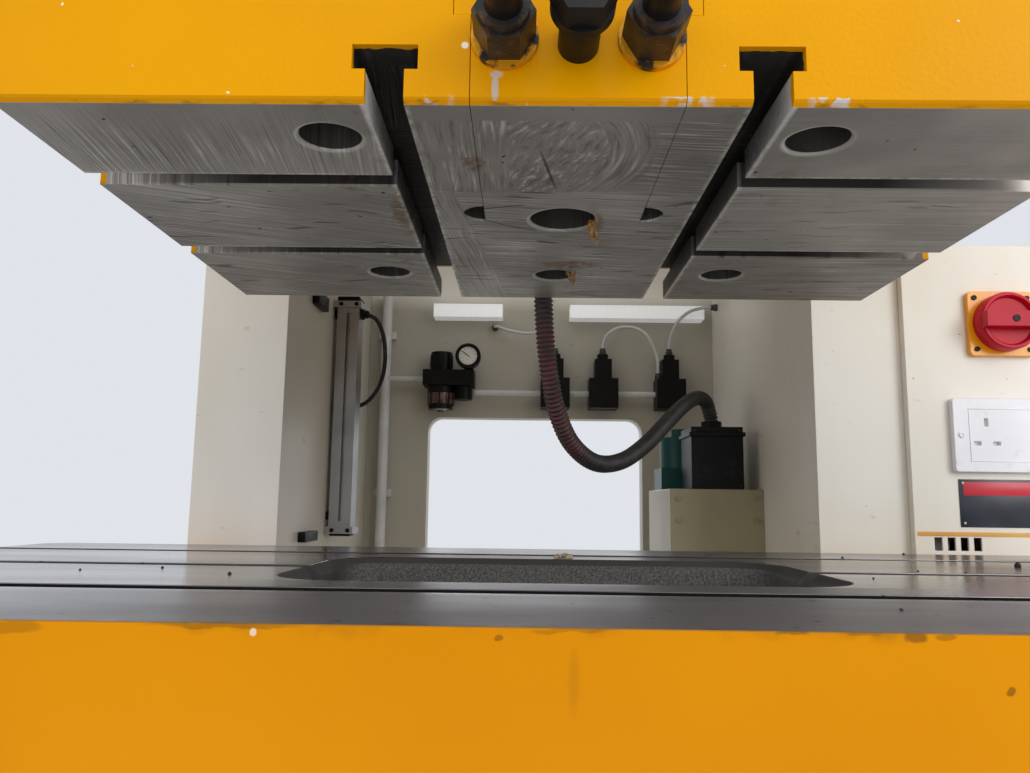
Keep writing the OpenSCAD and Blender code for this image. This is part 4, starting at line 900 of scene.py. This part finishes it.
def makeCabinetFittings():
    settings, face, out = cabinetSet, cabinetSet["face"], (0, -1, 0)
    # the label's red film is glossy, the cloth of the tape is not
    redFilm = plasticFinish("redFilm", "#CE2C3C", "#C02434", 0.3)
    tapeFilm = plasticFinish("orangeTape", "#E8B25C", "#DDA04A", 0.5)
    x0, x1, z0, z1 = settings["label"]
    bm = bmesh.new()
    addBlock(bm, (x0, face - 0.001, z0), (x1, face, z1), 0.0003, 0)
    split = z1 - (z1 - z0) * settings["labelBand"]
    addBlock(bm, (x0 + 0.005, face - 0.0013, split), (x1 - 0.003, face - 0.0006, z1 - 0.003), 0.0002, 1)
    for x in (x0 + 0.0045, x1 - 0.0045):
        for z in (z0 + 0.0045, z1 - 0.0045):
            addScrew(bm, (x, face - 0.001, z), out, 0.0016, 0.0008, 12, 2)
    addMesh("labelPlate", bm, [labelFinish(), redFilm, zincPlated], "root")

    cx, cz = settings["switchCentre"]
    bm = bmesh.new()
    addTurned(bm, settings["switchRim"], (cx, 0, cz), "Y", 0, 48)
    addScrew(bm, (cx, -0.045, cz), out, 0.0042, 0.001, 16, 1)
    addMesh("switchRim", bm, [crimsonAbs, blackOxide], "switch_unit")
    bm = bmesh.new()
    for x in (cx - 0.031, cx + 0.031):
        for z in (cz - 0.031, cz + 0.031):
            addScrew(bm, (x, -0.015, z), out, 0.003, 0.0016, 14)
    addMesh("switchScrews", bm, [blackOxide], "root")

    x0, x1, z0, z1 = settings["socket"]
    front, wide = face - settings["socketDeep"], settings["frameWide"]
    left, right, bottom, top = x0 + 0.018, x1 - 0.018, z0 + 0.012, z1 - 0.012
    bm = bmesh.new()
    for xa, xb, za, zb in (
        (left, right, bottom, bottom + wide), (left, right, top - wide, top),
        (left, left + wide, bottom + wide, top - wide), (right - wide, right, bottom + wide, top - wide),
    ):
        addBlock(bm, (xa, front - 0.0006, za), (xb, front + 0.001, zb), 0.0003)
    for x in (x0 + 0.009, x1 - 0.009):
        addScrew(bm, (x, front, (z0 + z1) / 2), out, 0.0035, 0.0012, 16)
    addMesh("socketFrame", bm, [whiteAbs], "root")

    x0, x1, z0, z1 = settings["tape"]
    bm = bmesh.new()
    addBlock(bm, (x0, face - 0.0005, z0), (x1, face, z1), 0.0001)
    addMesh("warningTape", bm, [tapeFilm], "root")


makeCabinetFittings()
print("cabinet fittings made")


# Inside the cabinet: zinc mounting plate, cable ducts, and rails with breakers, contactors, relays and terminals
gearSet = {
    "plate": ((0.4265, 0.03, 0.345), (0.429, 0.338, 1.225)),
    "ducts": [
        # y from, y to, z from, z to
        (0.034, 0.062, 0.35, 1.22), (0.306, 0.334, 0.35, 1.22), (0.062, 0.306, 1.188, 1.22),
        (0.062, 0.306, 0.965, 1.0), (0.062, 0.306, 0.735, 0.77), (0.062, 0.306, 0.545, 0.575),
    ],
    "ductDeep": 0.052,
    "rails": [1.095, 0.865, 0.655, 0.49],
    "rows": [
        # how many, first y, pitch, z, high, deep, body finish, nose finish
        (7, 0.078, 0.018, 1.095, 0.084, 0.066, 3, 3), (1, 0.212, 0.056, 1.095, 0.104, 0.078, 2, 1),
        (4, 0.076, 0.048, 0.865, 0.082, 0.084, 2, 1), (1, 0.272, 0.024, 0.865, 0.078, 0.07, 1, 4),
        (7, 0.074, 0.026, 0.655, 0.072, 0.062, 2, 3), (26, 0.072, 0.0082, 0.49, 0.05, 0.044, 1, 1),
    ],
    "bodyDeep": 0.68,  # share of a device's depth that is its body, and the rest is its nose
    "noseHigh": 0.27,  # half of the nose, as a share of the height
    "screwUp": 0.39,
    "transformer": (0.11, 0.24, 0.355, 0.445),
}


def makeCabinetGear():
    settings = gearSet
    bm = bmesh.new()
    addBlock(bm, *settings["plate"], 0.0006, 0)
    back = settings["plate"][1][0]
    for y0, y1, z0, z1 in settings["ducts"]:
        front = back + settings["ductDeep"]
        addBlock(bm, (back, y0, z0), (front, y1, z1), 0.001, 1)
        lid = (front - 0.006, y0 - 0.0008, z0 - 0.0008)
        addBlock(bm, lid, (front + 0.002, y1 + 0.0008, z1 + 0.0008), 0.001, 1)
    for z in settings["rails"]:
        addBlock(bm, (back, 0.066, z - 0.0175), (back + 0.0075, 0.302, z + 0.0175), 0.0006, 0)
    for count, first, pitch, z, high, deep, body, nose in settings["rows"]:
        shoulder, front = back + deep * settings["bodyDeep"], back + deep
        noseHalf, screwUp = high * settings["noseHigh"], high * settings["screwUp"]
        for k in range(count):
            y0 = first + pitch * k
            y1 = y0 + pitch - 0.0008
            middle = (y0 + y1) / 2
            addBlock(bm, (back + 0.006, y0, z - high / 2), (shoulder, y1, z + high / 2), 0.0006, body)
            addBlock(bm, (shoulder - 0.001, y0, z - noseHalf), (front, y1, z + noseHalf), 0.0006, nose)
            for up in (screwUp, -screwUp):
                addScrew(bm, (shoulder, middle, z + up), (1, 0, 0), pitch * 0.2, 0.0008, 12, 0)
            if pitch > 0.01:
                toggle = (front - 0.0005, middle - pitch * 0.18, z - 0.006)
                addBlock(bm, toggle, (front + 0.004, middle + pitch * 0.18, z + 0.004), 0.0006, 2)
    y0, y1, z0, z1 = settings["transformer"]
    addBlock(bm, (back, y0, z0), (back + 0.1, y1, z1), 0.002, 2)
    addBlock(bm, (back + 0.008, y0 - 0.012, z0 + 0.018), (back + 0.088, y1 + 0.012, z1 - 0.018), 0.006, 5)
    addMesh("cabinetGear", bm, [zincPlated, greyAbs, blackAbs, whiteAbs, greenAbs, windingTape], "root")


makeCabinetGear()
print("cabinet filled")


# Rear plate: gauge dial, filter bowl and the short air tubes with their push fittings
# each profile is a list of (radius, distance along the axis)
airSet = {
    "gauge": (-0.131, 0.476, 1.212),
    "bezel": [
        (0.0165, 0.0012), (0.0165, -0.0016), (0.0185, -0.0026), (0.0215, -0.0022), (0.0228, -0.0004),
        (0.0228, 0.008), (0.0222, 0.0086),
    ],
    "dial": [(0.0, -0.0004), (0.017, -0.0004), (0.017, 0.0002)],
    "ticks": (11, 225, 27),  # how many, the first one's angle, the step to the next
    "tickRadii": (0.0125, 0.014),
    "bowl": (-0.181, 0.506, 1.118),
    "shell": [
        (0.0, -0.005), (0.005, -0.005), (0.0052, -0.002), (0.012, -0.0012), (0.019, 0.003), (0.0224, 0.01),
        (0.0226, 0.03),
    ],
    "collar": [(0.0226, 0.029), (0.024, 0.03), (0.024, 0.04), (0.0226, 0.0412), (0.0215, 0.0412)],
    "knob": [(0.0, 0.1045), (0.012, 0.1045), (0.015, 0.1035), (0.0196, 0.102), (0.02, 0.1), (0.02, 0.072)],
    "ribs": [
        # how many, radius, half width, low, high, edge
        (8, 0.0224, 0.0014, 0.006, 0.03, 0.0005), (20, 0.02, 0.0008, 0.076, 0.098, 0.0003),
    ],
    "fitting": [
        (0.0031, 0.0), (0.0062, 0.0), (0.0062, 0.0065), (0.0052, 0.0072), (0.0052, 0.0105), (0.0046, 0.0115),
        (0.0031, 0.0115),
    ],
    "gland": [
        (0.0033, 0.0), (0.0085, 0.0), (0.0085, 0.005), (0.0062, 0.0062), (0.0062, 0.01), (0.005, 0.0125),
        (0.0033, 0.0125),
    ],
    "tube": 0.006,
    "tubes": {
        "airTubeLeft": [
            (-0.085, 0.53, 1.275), (-0.085, 0.516, 1.275), (-0.078, 0.498, 1.27), (-0.058, 0.487, 1.261),
            (-0.03, 0.484, 1.256), (-0.004, 0.488, 1.257), (0.014, 0.497, 1.252), (0.025, 0.507, 1.238),
            (0.026, 0.508, 1.222),
        ],
        "airTubeMiddle": [
            (0.113, 0.508, 1.222), (0.113, 0.508, 1.238), (0.12, 0.504, 1.257), (0.138, 0.497, 1.269),
            (0.163, 0.493, 1.271), (0.186, 0.493, 1.261), (0.201, 0.496, 1.24), (0.2115, 0.5, 1.214),
            (0.2125, 0.502, 1.194), (0.2125, 0.502, 1.176),
        ],
        "airTubeRight": [
            (0.234, 0.508, 1.222), (0.234, 0.508, 1.238), (0.238, 0.502, 1.26), (0.248, 0.492, 1.282),
            (0.268, 0.487, 1.299), (0.292, 0.486, 1.306), (0.306, 0.486, 1.307), (0.318, 0.486, 1.307),
        ],
    },
    "cable": 0.0065,
    "sensorCable": [
        (-0.28, 0.254, 1.234), (-0.271, 0.254, 1.234), (-0.256, 0.256, 1.226), (-0.247, 0.262, 1.205),
        (-0.244, 0.27, 1.178), (-0.247, 0.28, 1.15), (-0.257, 0.29, 1.124), (-0.275, 0.297, 1.104),
        (-0.298, 0.3, 1.096), (-0.318, 0.3, 1.095),
    ],
}


def makeCord(name, route, diameter, finish):
    line, whole = smoothLine(route, 0.003)
    curve, spline = tubeCurve(name, line, diameter, 4)
    spline.use_smooth = True
    curve.materials.append(finish)
    piece = putObject(name, curve)
    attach(piece, "root")


def makeAirFittings():
    settings = airSet
    # smoked polycarbonate shines like brown glass, and the printed dial is an even white
    bowlPlastic = plasticFinish("smokedPolycarbonate", "#6E5142", "#4C372C", 0.18, coat=0.3)
    dialWhite = plasticFinish("printedDial", "#E6E4DC", "#D8D5CA", 0.4)
    gx, gy, gz = settings["gauge"]
    bm = bmesh.new()
    addTurned(bm, settings["bezel"], settings["gauge"])
    addTurned(bm, settings["dial"], settings["gauge"], "Y", 1)
    count, first, step = settings["ticks"]
    for k in range(count):
        angle = math.radians(first - step * k)
        for r in settings["tickRadii"]:
            x, z = gx + math.cos(angle) * r, gz + math.sin(angle) * r
            addBlock(bm, (x - 0.0005, gy - 0.0007, z - 0.0005), (x + 0.0005, gy - 0.0003, z + 0.0005))
    for k in range(7):
        # the needle, in short steps
        x, z = gx + 0.0015 - 0.0115 * k / 6, gz - 0.001 + 0.0085 * k / 6
        addBlock(bm, (x - 0.0009, gy - 0.001, z - 0.0008), (x + 0.0009, gy - 0.0006, z + 0.0008))
    addMesh("gaugeDial", bm, [blackAbs, dialWhite], "root")

    bx, by, bz = settings["bowl"]
    bm = bmesh.new()
    for part, finish in (("shell", 0), ("collar", 1), ("knob", 1)):
        addTurned(bm, settings[part], settings["bowl"], "Z", finish)
    for count, radius, half, low, high, edge in settings["ribs"]:
        for k in range(count):
            angle = 2 * math.pi * k / count
            x, y = bx + math.cos(angle) * radius, by + math.sin(angle) * radius
            addBlock(bm, (x - half, y - half, bz + low), (x + half, y + half, bz + high), edge, 1)
    addMesh("filterBowl", bm, [bowlPlastic, blackAbs], "root")

    bm = bmesh.new()
    for route in settings["tubes"].values():
        for end, inner in ((route[0], route[1]), (route[-1], route[-2])):
            out = (Vector(inner) - Vector(end)).normalized()
            axis = "XYZ"[[abs(round(c)) for c in out].index(1)]
            sign = 1 if sum(out) > 0 else -1
            addTurned(bm, [(r, d * sign) for r, d in settings["fitting"]], end, axis, 0, 20)
    addMesh("pushFittings", bm, [greyAcetal], "root")
    for name, route in settings["tubes"].items():
        makeCord(name, route, settings["tube"], tubeNylon)

    route = settings["sensorCable"]
    makeCord("sensorCable", route, settings["cable"], blackRubber)
    bm = bmesh.new()
    for end in (route[0], route[-1]):
        addTurned(bm, settings["gland"], end, "X", 0, 24)
    addMesh("cableGlands", bm, [blackAbs], "root")


makeAirFittings()
print("air fittings made")


# Light curtain: black end caps, and the mounting blocks that carry it off the cheek
sensorSet = {
    "x": (-0.312, -0.28),
    "y": (0.236, 0.272),
    "z": (0.904, 1.25),
    "cheek": -0.318,
    "blocks": [
        # y, z, long, tall
        (0.096, 0.8975, 0.066, 0.013), (0.112, 1.216, 0.054, 0.02),
    ],
    "blockDeep": 0.01,
}


def makeSensorCaps():
    settings, cheek = sensorSet, sensorSet["cheek"]
    (x0, x1), (y0, y1), (z0, z1) = settings["x"], settings["y"], settings["z"]
    bm = bmesh.new()
    addBlock(bm, (x0 - 0.001, y0 - 0.001, z1), (x1 + 0.001, y1 + 0.001, z1 + 0.008), 0.002)
    addBlock(bm, (x0 + 0.001, y0 + 0.002, z0 - 0.0035), (x1 - 0.001, y1 - 0.002, z0), 0.001)
    for z in (z1 - 0.024, z0 + 0.02):
        addBlock(bm, (cheek, y0 + 0.004, z), (x0, y0 + 0.024, z + 0.012), 0.001)
    for y, z, long, tall in settings["blocks"]:
        addBlock(bm, (cheek, y, z), (cheek + settings["blockDeep"], y + long, z + tall), 0.001)
    for z in (z1 - 0.005, z0 + 0.005):
        for x in (x0 + 0.006, x1 - 0.003):
            addScrew(bm, (x, y0 - 0.004, z), (0, -1, 0), 0.003, 0.0018, 14)
    addMesh("sensorCaps", bm, [blackAbs], "root")


makeSensorCaps()


# Grease: strings that hang from the shank hole's and the ejector hole's edges, crumbs on the bolster
greaseSet = {
    "tufts": [
        # x, y, how many strings, longest, spread
        (0.025, -0.353, 5, 0.021, 0.0028),
        (0.015, -0.213, 5, 0.015, 0.0034),
    ],
    "under": 1.169,  # the slide's underside
    "crumbs": [
        # x, y, radius
        (0.4128, -0.2211, 0.003), (0.2904, -0.2932, 0.0009), (0.3929, -0.042, 0.0014), (0.2232, -0.3687, 0.0008),
        (0.2938, -0.1252, 0.0014), (0.159, -0.5552, 0.001), (0.3246, -0.301, 0.0007), (-0.2269, -0.4048, 0.0013),
        (-0.2918, -0.3615, 0.001), (-0.3381, -0.3883, 0.0008),
    ],
    "pile": (0.0105, -0.1785, 0.008),
    "pileCount": 11,
    "top": 0.9,  # the bolster's top
}


def greaseFinish(name, colour, shade, roughness):
    # old grease with brass dust: brown, translucent at the thin ends, half glossy, paler and matt once it dried
    under = {"Subsurface Weight": 0.25, "Subsurface Radius": (0.002, 0.001, 0.0005)}
    add, place, close = newFinish(name, roughness, others=under)
    skin = add("tint", patches(add, place, 3, 0.35, 0.6), colour, shade)
    return close(skin, height=add("noise", place, 1000 / 1.6, 2.0), depth=0.0006)


def makeGrease():
    settings = greaseSet
    chance = random.Random(7)
    bm = bmesh.new()
    for x, y, count, longest, spread in settings["tufts"]:
        for k in range(count):
            sx, sy = x + chance.uniform(-spread, spread), y + chance.uniform(-spread, spread)
            long = longest * chance.uniform(0.55, 1.0)
            thick = chance.uniform(0.0012, 0.0026)
            leanX, leanY = chance.uniform(-0.12, 0.12), chance.uniform(-0.15, 0.15)
            last = None
            for i in range(7):
                t = i / 6
                swell = (1 - t) ** 0.35 * (1 + 0.2 * math.sin(t * 9 + k)) + 0.1
                turn = Matrix.Translation((
                    sx + leanX * long * t + 0.001 * math.sin(t * 7 + k), sy + leanY * long * t,
                    settings["under"] + 0.0006 - long * t,
                ))
                ring = bmesh.ops.create_circle(bm, segments=8, radius=max(0.0002, thick * swell), matrix=turn)["verts"]
                loop = list({e for v in ring for e in v.link_edges})
                if last:
                    bmesh.ops.bridge_loops(bm, edges=last + loop)
                last = loop
            bmesh.ops.contextual_create(bm, geom=last)
    addMesh("greaseStrings", bm, [greaseFinish("oldGrease", "#B98A4C", "#7E5C30", 0.32)], "slide_unit", 60)

    x, y, spread = settings["pile"]
    pile = [
        (x + chance.uniform(-spread, spread), y + chance.uniform(-spread, spread), chance.uniform(0.0014, 0.0034))
        for _ in range(settings["pileCount"])
    ]
    bm = bmesh.new()
    for finish, crumbs in enumerate((settings["crumbs"], pile)):
        for x, y, radius in crumbs:
            lift = Matrix.Translation((x, y, settings["top"] + radius * 0.35))
            turn = lift @ Matrix.Rotation(chance.uniform(0, 3), 4, "Z")
            before = set(bm.faces)
            made = bmesh.ops.create_icosphere(bm, subdivisions=2, radius=radius, matrix=turn)["verts"]
            for vert in made:
                vert.co.xy += Vector((chance.uniform(-0.25, 0.25), chance.uniform(-0.25, 0.25))) * radius
            finishNew(bm, before, finish)
    driedGrease = greaseFinish("driedGrease", "#CDBFA4", "#8E7A5A", 0.6)
    addMesh("bolsterCrumbs", bm, [blackRubber, driedGrease], "root", 60)


makeGrease()
print("grease and light curtain caps made")


# Screws that hold the covers and boxes
guardSet = {"radius": 0.366, "y": 0.802, "middle": 1.796}  # the round end of the belt guard
screwSet = {
    # name: finish, radius, height, sides, out, places
    "crownCoverScrews": (blackOxide, 0.01, 0.007, 6, (0, -1, 0), [
        (x, -0.592, z) for x in (-0.33, 0.33) for z in (1.995, 2.125, 2.255, 2.385)
    ]),
    "junctionScrews": (blackOxide, 0.0028, 0.0016, 14, (0, -1, 0), [
        (x, 0.232, z) for x in (0.2205, 0.2875) for z in (0.9805, 1.0605)
    ]),
    "guardTabScrews": (blackOxide, 0.008, 0.006, 6, (0, 1, 0), [
        (x, 0.656, z) for x in (-0.404, 0.404) for z in (1.676, 1.916)
    ]),
    "guardEdgeScrews": (blackOxide, 0.006, 0.004, 6, (0, 1, 0), [
        (math.cos(a) * guardSet["radius"], guardSet["y"], guardSet["middle"] + math.sin(a) * guardSet["radius"])
        for a in [math.radians(-195 + 21 * k) for k in range(11)]
    ] + [
        (side * (0.355 - 0.235 * t), guardSet["y"], 1.905 + 0.84 * t) for side in (-1, 1) for t in (0.22, 0.5, 0.78)
    ]),
    "shelfScrews": (agedCreamEnamel, 0.0045, 0.0028, 14, (0, -1, 0), [
        (x, 0.226, z) for x in (0.195, 0.306) for z in (0.93, 0.962)
    ]),
} | {
    name: (blackOxide, 0.0032, 0.002, 14, (side, 0, 0), [
        (side * 0.443, y, z) for y in (-0.697, -0.62) for z in (0.569, 0.681)
    ]) for name, side in (("handBoxScrewsLeft", -1), ("handBoxScrewsRight", 1))
}
collarSet = {
    # the button's x, inner radius, outer radius
    "buttons": [(-0.338, 0.0212, 0.0252), (0.338, 0.0212, 0.0252), (0.412, 0.0172, 0.0212)],
    "y": -0.66,
    "boxTop": 0.69,
}


def makeScrews():
    for name, (finish, radius, height, sides, out, places) in screwSet.items():
        bm = bmesh.new()
        for place in places:
            addScrew(bm, place, out, radius, height, sides)
        addMesh(name, bm, [finish], "root")
    bm = bmesh.new()
    for x, inner, outer in collarSet["buttons"]:
        ring = [
            (inner, 0.0), (inner, 0.0012), (inner + 0.0008, 0.0018), (outer - 0.001, 0.0018), (outer, 0.0006),
            (outer, 0.0),
        ]
        addTurned(bm, ring, (x, collarSet["y"], collarSet["boxTop"]), "Z")
    addMesh("buttonCollars", bm, [hardChrome], "root")


makeScrews()
print("screws made")


# Numbers of the crank angle dial
dialSet = {
    "centre": (0.0, -0.6052, 2.12),
    "radius": 0.1165,
    "size": 0.0165,
    "step": 30,
    "tick": (0.0992, 0.106),  # from and to, as distances from the middle
    "tickStep": 10,
    "tickWide": 0.0007,  # half of a tick's width
    "longTickWide": 0.0011,
}


def makeDialNumbers():
    settings = dialSet
    cx, cy, cz = settings["centre"]
    bm = bmesh.new()
    for degrees in range(0, 360, settings["tickStep"]):
        inner, outer = settings["tick"]
        wide = settings["tickWide"]
        if degrees % settings["step"] == 0:
            inner, wide = inner - 0.004, settings["longTickWide"]
        before = set(bm.verts)
        addBlock(bm, (cx - wide, cy - 0.0003, cz + inner), (cx + wide, cy + 0.0004, cz + outer))
        turn = Matrix.Rotation(math.radians(degrees), 3, "Y")
        bmesh.ops.rotate(bm, cent=settings["centre"], matrix=turn, verts=list(set(bm.verts) - before))
    for number in range(0, 360, settings["step"]):
        words = bpy.data.curves.new("dialNumber", "FONT")
        words.body = str(number)
        words.size = settings["size"]
        words.align_x, words.align_y = "CENTER", "CENTER"
        words.extrude = 0.0004
        mesh = meshOf(words)
        angle = math.radians(number)
        place = (cx + math.sin(angle) * settings["radius"], cy, cz + math.cos(angle) * settings["radius"])
        mesh.transform(Matrix.Translation(place) @ Matrix.Rotation(math.radians(90), 4, "X"))
        bm.from_mesh(mesh)
        bpy.data.meshes.remove(mesh)
    addMesh("dialNumbers", bm, [blackAbs], "root")


makeDialNumbers()
print("dial numbered")


# Machined edges are never knife sharp: a fine bevel catches the light
bevelSet = {
    "slide": 0.0008, "clamp_block": 0.0004, "bolster": 0.0006, "left_cheek": 0.0016,
    "right_cheek": 0.0016, "frame_plates": 0.0016, "cabinet": 0.002,
    "cabinet_door": 0.0015, "socket_plate": 0.0012, "switch_plate": 0.0015, "hand_boxes": 0.003,
    "crown_cover": 0.0015, "shelf_box": 0.0015, "junction_box": 0.0012,
}


def softenEdges():
    for name, width in bevelSet.items():
        piece = nodes[name]
        weld = piece.modifiers.new("joinCorners", "WELD")
        weld.merge_threshold = 0.00001
        plane = piece.modifiers.new("joinFlats", "DECIMATE")
        plane.decimate_type = "DISSOLVE"
        plane.angle_limit = math.radians(0.3)
        bevel = piece.modifiers.new("softEdges", "BEVEL")
        bevel.width = width
        bevel.segments = 2
        bevel.limit_method = "ANGLE"
        bevel.angle_limit = math.radians(40)
        bevel.harden_normals = True


softenEdges()
print("edges softened on", len(bevelSet), "nodes")
